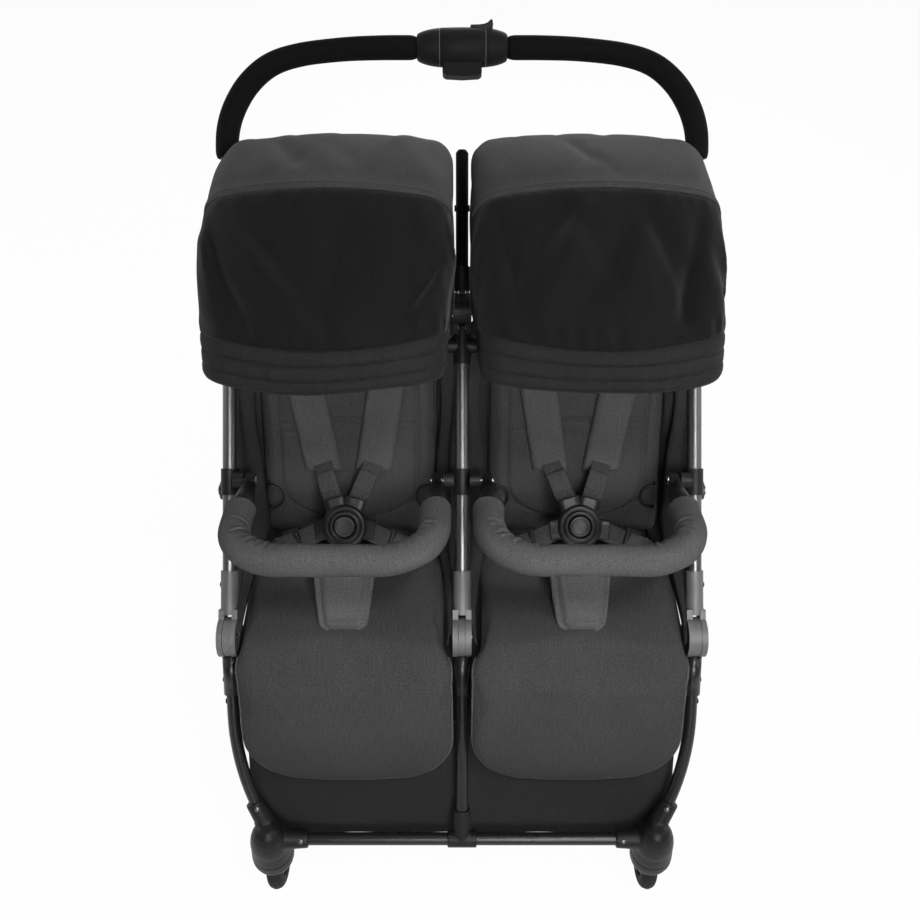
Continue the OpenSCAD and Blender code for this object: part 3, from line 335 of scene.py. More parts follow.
# Corner fittings: one moulding holds the leg, the cross tube and the caster's
# bearing, with soft fillets between them, and a small tee holds the middle leg.
def ring_faces(rings, sides, closed=True, caps=True):
    """Quads of a tube of rings, with its two ends closed."""
    around = range(sides) if closed else range(sides - 1)
    faces = [(r * sides + k, r * sides + (k + 1) % sides,
              (r + 1) * sides + (k + 1) % sides, (r + 1) * sides + k)
             for r in range(rings - 1) for k in around]
    if caps:
        faces += [tuple(range(sides - 1, -1, -1)), tuple((rings - 1) * sides + k for k in range(sides))]
    return faces


def rod(start, end, r0, r1, sides=32):
    """A closed tapered rod between two points."""
    start, end = np.asarray(start, float), np.asarray(end, float)
    along = (end - start) / np.linalg.norm(end - start)
    side = np.cross(along, (0, 0, 1) if abs(along[2]) < 0.9 else (1, 0, 0))
    side /= np.linalg.norm(side)
    angle = np.linspace(0, 2 * math.pi, sides, endpoint=False)[:, None]
    out = np.cos(angle) * side + np.sin(angle) * np.cross(along, side)
    return np.stack([start + r0 * out, end + r1 * out])


def upright(x, y, profile, sides=48):
    """Rings of a turned form on an upright axis, from (radius, height) pairs."""
    angle = np.linspace(0, 2 * math.pi, sides, endpoint=False)
    return np.stack([np.stack([x + r * np.cos(angle), y + r * np.sin(angle), 0 * angle + z], -1)
                     for r, z in profile])


def evened(piece, voxel):
    """Rebuilds a piece's skin in even faces of one size, once it is settled."""
    even = piece.modifiers.new("even", "REMESH")
    even.mode = "VOXEL"
    even.voxel_size = voxel
    even.use_smooth_shade = True
    return piece


def cast(name, forms, material, voxel, rounds):
    """One moulding out of several closed forms: joined, then rounded into each other."""
    points, faces = [], []
    for rings in forms:
        count = sum(len(p) for p in points)
        faces += [tuple(k + count for k in f) for f in ring_faces(*rings.shape[:2])]
        points.append(rings.reshape(-1, 3))
    piece = evened(piece_from(name, np.vstack(points), faces, material), voxel)
    soft = piece.modifiers.new("soft", "SMOOTH")
    soft.factor, soft.iterations = 0.5, rounds
    return settled(piece)


def joined(name, pieces):
    """Several pieces of one body as one object."""
    with bpy.context.temp_override(object=pieces[0], active_object=pieces[0], selected_objects=pieces,
                                   selected_editable_objects=pieces):
        bpy.ops.object.join()
    pieces[0].name = name
    return pieces[0]


def skin_of(piece):
    """A piece's surface, to find the nearest place on it."""
    return BVHTree.FromPolygons([v.co for v in piece.data.vertices],
                                [tuple(f.vertices) for f in piece.data.polygons])


CASTER_X, CASTER_Y = 0.291, -0.412
fittings = []
bulb = [(0.0230, 0.1283), (0.0288, 0.1300), (0.0296, 0.1370), (0.0290, 0.1460),
        (0.0274, 0.1560), (0.0240, 0.1680), (0.0185, 0.1780), (0.0100, 0.1845)]
bell = [(0.0270, 0.1420), (0.0288, 0.1390), (0.0295, 0.1330), (0.0302, 0.1260), (0.0308, 0.1190),
        (0.0312, 0.1148), (0.0310, 0.1138), (0.0300, 0.1140), (0.0292, 0.1200), (0.0284, 0.1300)]
for sx in (-1, 1):
    leg_low, leg_high = (on_leg(sx * (0.29452 + 0.4384 * t), 0, -0.2964 + 0.8988 * t)
                         for t in (-0.030, 0.038))
    collar = upright(sx * CASTER_X, CASTER_Y, bell)
    fittings.append(piece_from("bell", collar, ring_faces(len(bell), 48, caps=False), black_plastic))
    fittings.append(cast("corner_fitting", [
        upright(sx * CASTER_X, CASTER_Y, bulb), rod(leg_low, leg_high, 0.0165, 0.0134),
        rod((sx * 0.288, CASTER_Y, 0.151), (sx * 0.231, CASTER_Y, 0.150), 0.0175, 0.0133),
        rod((sx * 0.290, -0.408, 0.150), (sx * 0.276, -0.405, 0.172), 0.0200, 0.0150)],
        black_plastic, 0.0015, 9))
fittings.append(cast("tee", [
    rod((-0.022, CASTER_Y, 0.150), (0.022, CASTER_Y, 0.150), 0.0127, 0.0127),
    rod(on_leg(0, 0, -0.3244), on_leg(0, 0, -0.2744), 0.0125, 0.0121)], black_plastic, 0.0014, 4))
fitting = joined("corner_fittings", fittings)
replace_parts(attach(fitting, "front_frame"), "corner_housings")
front_up = np.array([0, -math.cos(math.radians(44)), math.sin(math.radians(44))])
skin = skin_of(fitting)
seats = [skin.find_nearest(Vector(spot) + Vector(front_up) * 0.03)[:2]
         for sx in (-1, 1) for spot in ((sx * 0.2400, CASTER_Y, 0.152), (sx * 0.2990, -0.388, 0.198))]
rivets("corner_screws", [place for place, _ in seats], [facing for _, facing in seats], 0.0040,
       anodised, "front_frame")

# Leg sleeves: dark plastic over the upper end of each leg, below its joint,
# round along their length and flat at both ends.
sleeve_rings = [rod(on_leg(x, 0, -0.0235), on_leg(x, 0, -0.088), 0.0121, 0.0121)
                for x in (-TUBE_X, 0, TUBE_X)]
leg_sleeves = joined("leg_sleeves", [piece_from("leg_sleeve", rings, ring_faces(2, 32), leg_black)
                                     for rings in sleeve_rings])
for edge in leg_sleeves.data.polygons:
    edge.use_smooth = len(edge.vertices) == 4
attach(leg_sleeves, "front_frame")


# Caster skirts: each fork's crown runs up to the fitting in one smooth bulb,
# cut away over the tyre.
def sheet_faces(rows, columns):
    """Quads of an open sheet of points."""
    return ring_faces(rows, columns, closed=False, caps=False)


def thickened(piece, thick, offset=0):
    """Gives a sheet its thickness, about its middle or to one side of it."""
    wall = piece.modifiers.new("wall", "SOLIDIFY")
    wall.thickness, wall.offset = thick, offset
    return settled(piece)


for side, sign in SIDES:
    angle, level = np.meshgrid(np.linspace(0, 2 * math.pi, 73), np.linspace(0, 1, 22))
    x, y = 0.0314 * np.cos(angle), 0.0314 * np.sin(angle)
    over = 0.056 + np.sqrt(np.maximum(0.0600 ** 2 - (y - 0.024) ** 2, 0))
    low = np.where(np.abs(x) < 0.0175, np.maximum(0.098, over), 0.098)
    z = 0.1250 + (np.minimum(low, 0.1180) - 0.1250) * level
    r = np.interp(z, [0.098, 0.107, 0.112, 0.1136, 0.1160, 0.1250],
                  [0.0314, 0.0313, 0.0310, 0.0296, 0.0282, 0.0215])
    points = np.stack([sign * CASTER_X + r * np.cos(angle), CASTER_Y + r * np.sin(angle), z], -1)
    faces = [(a, d, c, b) for a, b, c, d in sheet_faces(*z.shape)]
    skirt = thickened(piece_from("caster_skirt_" + side, points, faces, black_plastic), 0.0010)
    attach(skirt, "caster_" + side)

# Knuckle seals: thin washers and shims close the slots of the three upper
# hinges, those of the fork's side on the seat tube and two on the handle.
on_fork = leaning(-44, 0.08649, 0.76309)


def shim(place, x, z, y=0.0085):
    """A small block between two places along x and z, given in a part's own axes."""
    around = np.array([x[0], x[1], x[1], x[0]]), np.array([-y, -y, y, y])
    return np.stack([place(*around, h + np.zeros(4)) for h in z])


seals, caps = [], []
for middle in (-TUBE_X, 0, TUBE_X):
    for k in (-1, 1):
        disc = rod(on_fork(middle + k * 0.00504, 0, 0), on_fork(middle + k * 0.00536, 0, 0), 0.0243, 0.0243)
        seals.append(piece_from("washer", disc, ring_faces(2, 32), black_plastic, smooth=False))
        block = shim(on_arm, sorted((middle + k * 0.0056, middle + k * 0.0102)), (0.0255, 0.0285))
        caps.append(piece_from("cap", block, ring_faces(2, 4), black_plastic, smooth=False))
    floor_block = shim(on_fork, (middle - 0.0052, middle + 0.0052), (-0.0285, -0.0245))
    seals.append(piece_from("shim", floor_block, ring_faces(2, 4), black_plastic, smooth=False))
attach(joined("knuckle_seals", seals), "main_frame")
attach(joined("knuckle_caps", caps), "handle")


# Handle: foam sleeves pulled over the arched tube, drooping a little from the
# control unit to the corners and cut square above the bare tube.
def run_along(points):
    """How far along its line each point lies."""
    return np.concatenate([[0], np.cumsum(np.linalg.norm(np.diff(points, axis=0), axis=1))])


def smooth_path(points, count):
    """An even run of points through the given ones (Catmull-Rom)."""
    p = np.asarray(points, float)
    p = np.vstack([2 * p[0] - p[1], p, 2 * p[-1] - p[-2]])
    fine = []
    for a, b, c, d in zip(p[:-3], p[1:-2], p[2:-1], p[3:]):
        t = np.linspace(0, 1, 24, endpoint=False)[:, None]
        fine.append(0.5 * (2 * b + (c - a) * t + (2 * a - 5 * b + 4 * c - d) * t ** 2
                           + (3 * b - a - 3 * c + d) * t ** 3))
    fine = np.vstack([*fine, p[-2:-1]])
    run = run_along(fine)
    at = np.linspace(0, run[-1], count)
    return np.stack([np.interp(at, run, fine[:, k]) for k in range(3)], -1)


def carried(path, up):
    """The tangent, side and top directions along a path, the top kept near up."""
    tangent = np.gradient(path, axis=0)
    tangent /= np.linalg.norm(tangent, axis=1, keepdims=True)
    up = np.broadcast_to(np.asarray(up, float), path.shape)
    side = np.cross(tangent, up)
    side /= np.linalg.norm(side, axis=1, keepdims=True)
    return tangent, side, np.cross(side, tangent)


def swept(path, up, radius, sides):
    """Rings of a round sleeve; radius may be a function of ring and angle."""
    side, top = carried(path, up)[1:]
    angle = np.linspace(0, 2 * math.pi, sides, endpoint=False)
    if callable(radius):
        r = radius(np.arange(len(path))[:, None], angle[None, :])
    else:
        r = radius * np.ones((len(path), sides))
    return path[:, None] + r[..., None] * (np.cos(angle)[None, :, None] * side[:, None]
                                           + np.sin(angle)[None, :, None] * top[:, None])


def facing_out(piece):
    """Turns a closed mesh right side out."""
    work = bmesh.new()
    work.from_mesh(piece.data)
    bmesh.ops.recalc_face_normals(work, faces=work.faces)
    work.to_mesh(piece.data)
    work.free()
    return piece


def foam_radius(rings):
    def radius(ring, angle):
        t = ring / (rings - 1)
        ends = np.minimum(1, np.minimum(t, 1 - t) * rings / 2.5)
        return (0.0163 - 0.0022 * (1 - ends) ** 2 + 0.0004 * np.sin(9 * t + 1)) * np.ones_like(angle)
    return radius


foam = bpy.data.materials.new("grip_foam")
foam.use_nodes = True
foam.node_tree.nodes.clear()
pores = Tone(foam.node_tree)
pores_at = pores.node("ShaderNodeTexCoord", None, None, "Object")
cells = pores.node("ShaderNodeTexVoronoi", None, {"Vector": pores_at, "Scale": 900.0})
bloom = pores.node("ShaderNodeTexNoise", None, {"Vector": pores_at, "Scale": 14.0, "Detail": 5.0})
pores.node("ShaderNodeOutputMaterial", None, {"Surface": pores.node("ShaderNodeBsdfPrincipled", None, {
    "Base Color": pores.node("ShaderNodeMix", {"data_type": "RGBA"}, {
        0: 0.6 * bloom + 0.3 * cells, 6: (0.003, 0.003, 0.003, 1), 7: (0.008, 0.008, 0.008, 1)}, 2),
    "Roughness": 0.80 + 0.12 * bloom, "Specular IOR Level": 0.08,
    "Normal": pores.node("ShaderNodeBump", None, {"Strength": 0.5, "Distance": 0.0003, "Height": cells})})})

grip_line = [(0.0645, 0.3700), (0.12, 0.3697), (0.173, 0.3672), (0.230, 0.3600), (0.271, 0.3465),
             (0.302, 0.3210), (0.323, 0.288), (0.3335, 0.254), (0.3355, 0.215)]
grip_rings, grip_sides = 90, 28
grip_points, grip_faces = [], []
for sign in (-1, 1):
    path = smooth_path([on_arm(sign * x, 0, z) for x, z in grip_line], grip_rings)
    rings = swept(path, on_arm(0, 1, 0) - on_arm(0, 0, 0), foam_radius(grip_rings), grip_sides)
    first = len(grip_points) * grip_rings * grip_sides
    grip_faces += [tuple(k + first for k in f) for f in ring_faces(grip_rings, grip_sides)]
    grip_points.append(rings.reshape(-1, 3))
grips = piece_from("foam_grips", np.vstack(grip_points), grip_faces, foam)
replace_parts(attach(grips, "handle"), "handle_grips")

# Control unit: a barrel of two end caps pressed on a middle shell, with a
# ribbed fold trigger below and a thumb slide on top.
control_black = hard_finish("control_black", (0.0065, 0.0065, 0.007), (0.014, 0.014, 0.0145), 0.58, 1500,
                            0.00010, specular=0.10)
slide_grey = hard_finish("slide_grey", (0.014, 0.014, 0.015), (0.030, 0.030, 0.031), 0.5, 1500, 0.00008,
                         specular=0.2)
BAR_AT = 0.370


def on_handle(profile, steps=64):
    """Rings of a turned form on the handle's own axis, from (place, radius) pairs."""
    angle = np.linspace(0, 2 * math.pi, steps, endpoint=False)
    return np.stack([on_arm(x + 0 * angle, r * np.cos(angle), BAR_AT + r * np.sin(angle))
                     for x, r in profile])


barrel = [(-0.0640, 0.0100), (-0.0640, 0.0160), (-0.0632, 0.0176), (-0.0610, 0.0192), (-0.0560, 0.0214),
          (-0.0480, 0.0236), (-0.0400, 0.0251), (-0.0322, 0.0260), (-0.0316, 0.0252), (-0.0310, 0.0261),
          (-0.0150, 0.0267), (0.0020, 0.0269), (0.0200, 0.0267), (0.0328, 0.0261), (0.0334, 0.0252),
          (0.0340, 0.0260), (0.0420, 0.0250), (0.0500, 0.0234), (0.0570, 0.0213), (0.0615, 0.0192),
          (0.0634, 0.0176), (0.0640, 0.0160), (0.0640, 0.0100)]
control = piece_from("control_shell", on_handle(barrel), ring_faces(len(barrel), 64), control_black)
facing_out(control)
pocket_rim = [(-0.0283, -0.0123), (0.0283, -0.0123), (0.0283, 0.0123), (-0.0283, 0.0123)]
pocket_at = [on_arm(x, y, BAR_AT + z) for z in (-0.045, -0.004) for x, y in pocket_rim]
pocket = facing_out(piece_from("trigger_pocket", pocket_at, ring_faces(2, 4), control_black, smooth=False))
cut = control.modifiers.new("pocket", "BOOLEAN")
cut.object, cut.operation, cut.solver = pocket, "DIFFERENCE", "EXACT"
settled(control)
bpy.data.objects.remove(pocket)
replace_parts(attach(control, "handle"), "control_housing")
# Two thin rings of lighter satin on the seams between the black shells: painted highlights where the seams'
# edges catch the light.
seam_profile = [(-0.0005, 0.0250), (-0.0004, 0.0260), (0.0004, 0.0260), (0.0005, 0.0250)]
seam_highlight_rings = [on_handle([(x + step, r) for step, r in seam_profile]) for x in (-0.0316, 0.0334)]
seam_highlights = joined("control_seam_highlights", [piece_from("seam", rings, ring_faces(4, 64, caps=False), joint_satin)
                                 for rings in seam_highlight_rings])
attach(seam_highlights, "handle")


def coords(piece):
    """A piece's points."""
    flat = np.empty(len(piece.data.vertices) * 3)
    piece.data.vertices.foreach_get("co", flat)
    return flat.reshape(-1, 3)


def set_coords(piece, points):
    """Moves a piece's points to new places."""
    piece.data.vertices.foreach_set("co", np.ascontiguousarray(points, np.float32).ravel())
    piece.data.update()
    return piece


def moulded(name, outline, depth, rim, material, place):
    """A flat outline given a depth, with its edges rounded by rim; place() sets (along, across, up)."""
    points = [(x, y, z) for y in (-depth, depth) for x, z in outline]
    count = len(outline)
    faces = [tuple(range(count)), tuple(range(2 * count - 1, count - 1, -1))]
    faces += [(k, count + k, count + (k + 1) % count, (k + 1) % count) for k in range(count)]
    block = piece_from(name, points, faces, material, smooth=False)
    edge = block.modifiers.new("edge", "BEVEL")
    edge.width, edge.segments, edge.limit_method = rim, 3, "ANGLE"
    edge.angle_limit = math.radians(30)
    settled(block)
    return facing_out(set_coords(block, place(*coords(block).T)))


trigger_outline = [(-0.0278, -0.016), (0.0278, -0.016), (0.0278, -0.0380), (0.0235, -0.0412), (0.0, -0.0425),
                   (-0.0235, -0.0412), (-0.0278, -0.0380)]
trigger = moulded("trigger_block", trigger_outline, 0.0118, 0.0018, control_black,
                  lambda x, y, z: on_arm(x, y, BAR_AT + z))


def rib_shape(start, given):
    return start.node("GeometryNodeMeshCylinder", None, {
        "Vertices": 10, "Radius": given["Radius"], "Depth": given["Length"]})


rib_tree = scatter_tree("trigger_ribs", rib_shape, {
    "Radius": "NodeSocketFloat", "Length": "NodeSocketFloat", "Material": "NodeSocketMaterial"})
rib_at = [on_arm(x, -0.0112, BAR_AT - 0.0355) for x in np.linspace(-0.0240, 0.0240, 14)]
down = on_arm(0, 0, 0) - on_arm(0, 0, 1)
ribs = scattered("trigger_rib", rib_at, [down] * len(rib_at), rib_tree,
                 {"Radius": 0.0011, "Length": 0.0110, "Material": control_black})
trigger = joined("fold_trigger_grip", [trigger, ribs])
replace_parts(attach(trigger, "trigger"), "fold_trigger")

slide_outline = [(0.0005, 0.0004), (0.0300, 0.0004), (0.0306, 0.0070), (0.0300, 0.0128), (0.0282, 0.0138),
                 (0.0262, 0.0122), (0.0235, 0.0092), (0.0190, 0.0073), (0.0120, 0.0064), (0.0020, 0.0062)]
slide = moulded("thumb_slide_pad", slide_outline, 0.0078, 0.0011, slide_grey,
                lambda x, y, z: on_arm(1.1 * x + 0.010, y - 0.0035, BAR_AT + 0.0222 + z))
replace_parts(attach(slide, "thumb"), "thumb_slide")


# Tyres: solid rubber rings with two grooves round the tread and short cuts
# across its shoulders, moulded onto the rims.
def tyre(name, centre, radius, half, rim, cuts, body, node):
    profile = np.radians(np.linspace(-122, 122, 45))
    turn = np.linspace(0, 2 * math.pi, cuts * 6, endpoint=False)
    across, around = np.meshgrid(profile, turn)
    across_at = half * np.sin(across) * 0.985
    reach = radius - half + half * np.cos(across)
    tread = np.exp(-(np.degrees(across) / 74) ** 8)
    grooves = sum(np.exp(-((np.degrees(across) - at) / 4.2) ** 2) for at in (-22, 22))
    cut = (np.sin(cuts * around) > 0.72) * np.exp(-((np.abs(np.degrees(across)) - 56) / 21) ** 6)
    reach = np.maximum(reach - 0.0011 * grooves - 0.0009 * cut * tread, rim - 0.0005)
    points = np.stack([centre[0] + across_at, centre[1] + reach * np.cos(around),
                       centre[2] + reach * np.sin(around)], -1)
    rings, sides = len(turn), len(profile)
    faces = [(r * sides + k, r * sides + k + 1, (r + 1) % rings * sides + k + 1, (r + 1) % rings * sides + k)
             for r in range(rings) for k in range(sides - 1)]
    faces += [(r * sides + sides - 1, r * sides, (r + 1) % rings * sides, (r + 1) % rings * sides + sides - 1)
              for r in range(rings)]
    ring = piece_from(name, points, [f[::-1] for f in faces], tyre_rubber)
    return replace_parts(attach(ring, body), node)


for side, sign in SIDES:
    tyre("front_tread_" + side, (sign * CASTER_X, -0.388, 0.056), 0.056, 0.013, 0.036, 34,
         "front_wheel_" + side, "front_tyre_" + side)
    tyre("rear_tread_" + side, (sign * 0.323, 0.359, 0.085), 0.085, 0.018, 0.057, 42,
         "rear_wheel_" + side, "rear_tyre_" + side)


# Seat covers: one padded cover runs from the back of each seat over its front
# edge and down the leg rest, in charcoal melange cloth, bound along its rim with
# piping painted lighter than the cover, a painted highlight of its lit edge.
def woven(name, dark, light, thread, roughness=0.9, sheen=0.0, specular=0.03, twill=False, slub=0.5):
    """Cloth with its threads, flecks and broad shading on the piece's own map, which is in metres."""
    material = bpy.data.materials.new(name)
    material.use_nodes = True
    material.node_tree.nodes.clear()
    start = Tone(material.node_tree)
    cut = start.node("ShaderNodeUVMap", {"uv_map": "cloth"})
    across = start.node("ShaderNodeSeparateXYZ", None, {0: cut}, 0) * (2 * math.pi / thread)
    along = start.node("ShaderNodeSeparateXYZ", None, {0: cut}, 1) * (2 * math.pi / thread)
    if twill:
        weave = (across + along).math("SINE") * 0.5 + 0.3 * (across - along).math("SINE")
    else:
        weave = across.math("SINE") * along.math("SINE")
    fleck = start.node("ShaderNodeTexNoise", None, {"Vector": cut, "Scale": 0.62 / thread, "Detail": 3.0})
    warp = start.node("ShaderNodeMapping", None, {"Vector": cut, "Scale": (1.0, 0.06, 1.0)})
    streak = start.node("ShaderNodeTexNoise", None, {"Vector": warp, "Scale": 0.9 / thread, "Detail": 2.0})
    broad = start.node("ShaderNodeTexNoise", None, {"Vector": cut, "Scale": 7.0, "Detail": 4.0})
    tone = 0.14 * weave + slub * (2.4 * fleck - 0.7) + 0.5 * streak + 0.30 * broad - 0.15
    colour = start.node("ShaderNodeMix", {"data_type": "RGBA"}, {
        0: tone, 6: (*dark, 1), 7: (*light, 1)}, 2)
    start.node("ShaderNodeOutputMaterial", None, {"Surface": start.node("ShaderNodeBsdfPrincipled", None, {
        "Base Color": colour, "Roughness": roughness - 0.08 + 0.12 * fleck, "Specular IOR Level": specular,
        "Sheen Weight": sheen, "Sheen Roughness": 0.45,
        "Normal": start.node("ShaderNodeBump", None, {
            "Strength": 0.5, "Distance": 0.35 * thread, "Height": 0.5 * weave + 0.6 * fleck})})})
    return material


seat_cloth = woven("seat_melange", (0.0222, 0.0222, 0.0231), (0.0856, 0.0856, 0.0872), 0.0013)
# The piping is painted lighter than the seat cloth: a painted highlight along the cover's edge.
piping_cloth_painted_highlight = woven("piping_cloth_painted_highlight", (0.0440, 0.0440, 0.0460), (0.1600, 0.1600, 0.1640), 0.0009,
                      roughness=0.7)


def corner_points(piece):
    """The number of the point at each corner of each face."""
    corner = np.empty(len(piece.data.loops), int)
    piece.data.loops.foreach_get("vertex_index", corner)
    return corner


def lay_map(piece, laid):
    """Sets the map of the weave, in metres, at each corner of each face."""
    layer = piece.data.uv_layers.get("cloth") or piece.data.uv_layers.new(name="cloth")
    layer.data.foreach_set("uv", np.ascontiguousarray(laid, np.float32).ravel())
    return piece


def cloth_map(piece):
    """A map for the weave, laid on each face from the side it looks to."""
    faces = piece.data.polygons
    normals, totals = np.empty(len(faces) * 3), np.empty(len(faces), int)
    faces.foreach_get("normal", normals)
    faces.foreach_get("loop_total", totals)
    facing = np.repeat(np.abs(normals.reshape(-1, 3)).argmax(1), totals)
    at = coords(piece)[corner_points(piece)]
    laid = np.where((facing == 0)[:, None], at[:, [1, 2]],
                    np.where((facing == 1)[:, None], at[:, [0, 2]], at[:, :2]))
    return lay_map(piece, laid)


def cushion(name, top, under, material):
    """A closed pad from two grids of points that meet along their rim."""
    rows, columns = top.shape[:2]
    number = np.arange(rows * columns).reshape(rows, columns)
    below = number.copy()
    below[1:-1, 1:-1] = rows * columns + np.arange((rows - 2) * (columns - 2)).reshape(rows - 2, columns - 2)
    faces = [(number[r, c], number[r, c + 1], number[r + 1, c + 1], number[r + 1, c])
             for r in range(rows - 1) for c in range(columns - 1)]
    faces += [(below[r, c], below[r + 1, c], below[r + 1, c + 1], below[r, c + 1])
              for r in range(rows - 1) for c in range(columns - 1)]
    points = np.vstack([top.reshape(-1, 3), under[1:-1, 1:-1].reshape(-1, 3)])
    return piece_from(name, points, faces, material)


def puffed(piece, voxel, cap, pressure=4.0):
    """Fills a pad: its cloth is blown up in a simulation, with every point held to within cap of its cut."""
    cut = coords(settled(evened(piece, voxel)))
    cloth = piece.modifiers.new("cloth", "CLOTH")
    cloth.settings.use_pressure = True
    cloth.settings.uniform_pressure_force = pressure
    cloth.settings.effector_weights.gravity = 0
    cloth.settings.quality = 4
    cloth.settings.mass = 0.2
    cloth.settings.tension_stiffness = cloth.settings.compression_stiffness = 18
    cloth.settings.bending_stiffness = 0.6
    cloth.point_cache.frame_start, cloth.point_cache.frame_end = 1, 14
    for step in range(1, 15):
        scene.frame_set(step)
    made = piece.evaluated_get(bpy.context.evaluated_depsgraph_get())
    blown = np.array([v.co for v in made.data.vertices])
    moved = blown - cut
    far = np.linalg.norm(moved, axis=1, keepdims=True)
    cut = cut + moved * np.minimum(1, cap / np.maximum(far, 1e-9))
    piece.modifiers.clear()
    scene.frame_set(1)
    set_coords(piece, cut)
    return piece


def divided(piece):
    """One subdivision, made part of the mesh."""
    fine = piece.modifiers.new("fine", "SUBSURF")
    fine.levels = fine.render_levels = 1
    return settled(piece)


def finer(piece, smooth):
    """One subdivision, after an even smoothing of the voxel steps."""
    even = piece.modifiers.new("even", "SMOOTH")
    even.factor, even.iterations = 0.5, smooth
    divided(piece)
    piece.data.polygons.foreach_set("use_smooth", [True] * len(piece.data.polygons))
    return piece


def round_in(d, r):
    """0 at an edge, rising on a quarter circle to 1 at r from it."""
    d = np.clip(np.asarray(d, float) / r, 0, 1)
    return np.sqrt(1 - (1 - d) ** 2)


def copy_of(pattern, name):
    """A piece of its own, cut to the same pattern."""
    piece = pattern.copy()
    piece.data = pattern.data.copy()
    piece.name = name
    scene.collection.objects.link(piece)
    return piece


on_rest = leaning(-21, -0.303, 0.413)
REST_END = 0.190
SEAT_ROWS = 96
rest_front = [(0.0235, 0.035), (0.0225, 0.08), (0.0180, 0.125), (0.0105, 0.163), (0.0030, REST_END)]
cover_top = smooth_path([(0, -0.089, 0.428), (0, -0.098, 0.447), (0, -0.125, 0.4565), (0, -0.18, 0.4595),
                         (0, -0.240, 0.4595), (0, -0.272, 0.4575), (0, -0.298, 0.4505), (0, -0.3165, 0.4370),
                         (0, -0.3275, 0.4165),
                         *[tuple(on_rest(0, -y, -s)) for y, s in rest_front]], SEAT_ROWS)
cover_under = smooth_path([(0, -0.089, 0.4178), (0, -0.13, 0.4175), (0, -0.20, 0.4175), (0, -0.262, 0.4180),
                           (0, -0.290, 0.4205), (0, -0.3045, 0.4200), (0, -0.3110, 0.4120),
                           (0, -0.3105, 0.4000),
                           *[tuple(on_rest(0, 0.004, -s)) for s in (0.045, 0.09, 0.15, REST_END)]], SEAT_ROWS)
# The foot of the leg rest rolls back under.
roll = np.clip((np.arange(SEAT_ROWS) - 68) / 27, 0, 1)[:, None] ** 2 * np.array([0, 0.0173, -0.0166])
cover_top, cover_under = cover_top + roll, cover_under + roll


def cover_half():
    """Half the cover's width along its run: snug between the joints, wider in front, round at the foot."""
    middle = (cover_top + cover_under) / 2
    wide = 0.1475 + 0.0080 * np.clip((-0.268 - middle[:, 1]) / 0.03, 0, 1)
    along = run_along(middle)
    left = np.clip((along[-1] - along) / 0.110, 0, 1)
    return wide * np.maximum((1 - (1 - left) ** 2) ** (1 / 2.8), 0.02)


def cover_grid(columns):
    u = np.sin(np.linspace(-math.pi / 2, math.pi / 2, columns))
    middle, reach = (cover_top + cover_under) / 2, (cover_top - cover_under) / 2
    rows = len(middle)
    half = cover_half()
    edge = (1 - np.abs(u) ** 5.0) ** (1 / 2.4)
    ends = round_in(np.arange(rows), 6) * round_in(np.arange(rows)[::-1], 7)
    lift = edge[None, :] * ends[:, None]
    sag = 1 + 0.10 * (1 - u[None, :] ** 2)
    top = middle[:, None] + reach[:, None] * (lift * sag)[..., None]
    under = middle[:, None] - reach[:, None] * lift[..., None]
    for grid in (top, under):
        grid[..., 0] = half[:, None] * u[None, :]
    return top, under


def seat_x(sign):
    return sign * 0.1690


def seat_shift(points):
    """The leg rests hang a little nearer to the middle leg than the seats above them."""
    return 0.0050 * np.clip((-0.268 - points[:, 1]) / 0.04, 0, 1)


top, under = cover_grid(56)
pattern = facing_out(puffed(cushion("seat_cover", top, under, seat_cloth), 0.0052, 0.0045))
finer(pattern, 3)
shape = coords(pattern)
# The seat dips a little in its middle.
dip = np.exp(-(shape[:, 0] / 0.07) ** 2 - ((shape[:, 1] + 0.19) / 0.05) ** 2)
shape[:, 2] -= 0.004 * dip * (shape[:, 2] > 0.43)
set_coords(pattern, shape)
rim_line = np.vstack([top[44:, 0], top[-1, 1:-1], top[44:, -1][::-1]])
for side, sign in SIDES:
    cover = copy_of(pattern, "seat_cover_" + side)
    cover_at = coords(cover)
    ripple = np.sin(cover_at[:, 0] * 41 + sign) * np.sin(cover_at[:, 1] * 37 + 2 * sign)
    ripple *= np.sin(cover_at[:, 2] * 29)
    cover_at += 0.0012 * ripple[:, None] * np.array([0, -0.7, 0.7])
    cover_at[:, 0] -= sign * seat_shift(cover_at)
    set_coords(cover, cover_at + np.array([seat_x(sign), 0, 0]))
    cloth_map(cover)
    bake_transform(cover)
    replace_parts(cover, "seat_pad_" + side, "leg_rest_" + side)
    skin = skin_of(cover)
    edge_at = []
    shifted = rim_line + np.array([seat_x(sign), 0, 0])
    shifted[:, 0] -= sign * seat_shift(rim_line)
    for p in smooth_path(shifted, 220):
        near, normal = skin.find_nearest(Vector(p))[:2]
        edge_at.append(np.array(near) + 0.0007 * np.array(normal))
    edge_at = np.array(edge_at)
    for _ in range(3):
        edge_at[1:-1] = (edge_at[:-2] + edge_at[1:-1] + edge_at[2:]) / 3
    rings = swept(edge_at, (0, -0.93, 0.36), 0.0014, 8)
    piping = piece_from("seat_piping_" + side, rings, ring_faces(220, 8), piping_cloth_painted_highlight)
    cloth_map(piping)
    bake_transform(piping)
bpy.data.objects.remove(pattern)


# Backrests: padded boards with a liner quilted onto them, its seam running
# down both sides and round the foot, with two channels and short tucks.
BACK_LEAN, BACK_Y, BACK_Z = 25, -0.070, 0.425
on_back = leaning(-BACK_LEAN, BACK_Y, BACK_Z)
SEAT = 0.1675
back_cloth = woven("back_melange", (0.0199, 0.0199, 0.0210), (0.0819, 0.0819, 0.0840), 0.0013)


def back_depth(x, z):
    """How far the pad stands in front of its board's middle."""
    body = (0.010 + 0.026 * round_in(0.134 - np.abs(x), 0.030)
            * round_in(z - 0.032, 0.030) * round_in(0.455 - z, 0.040))
    return body - 0.004 * np.exp(-((z - 0.19) / 0.026) ** 2 - (x / 0.09) ** 2)


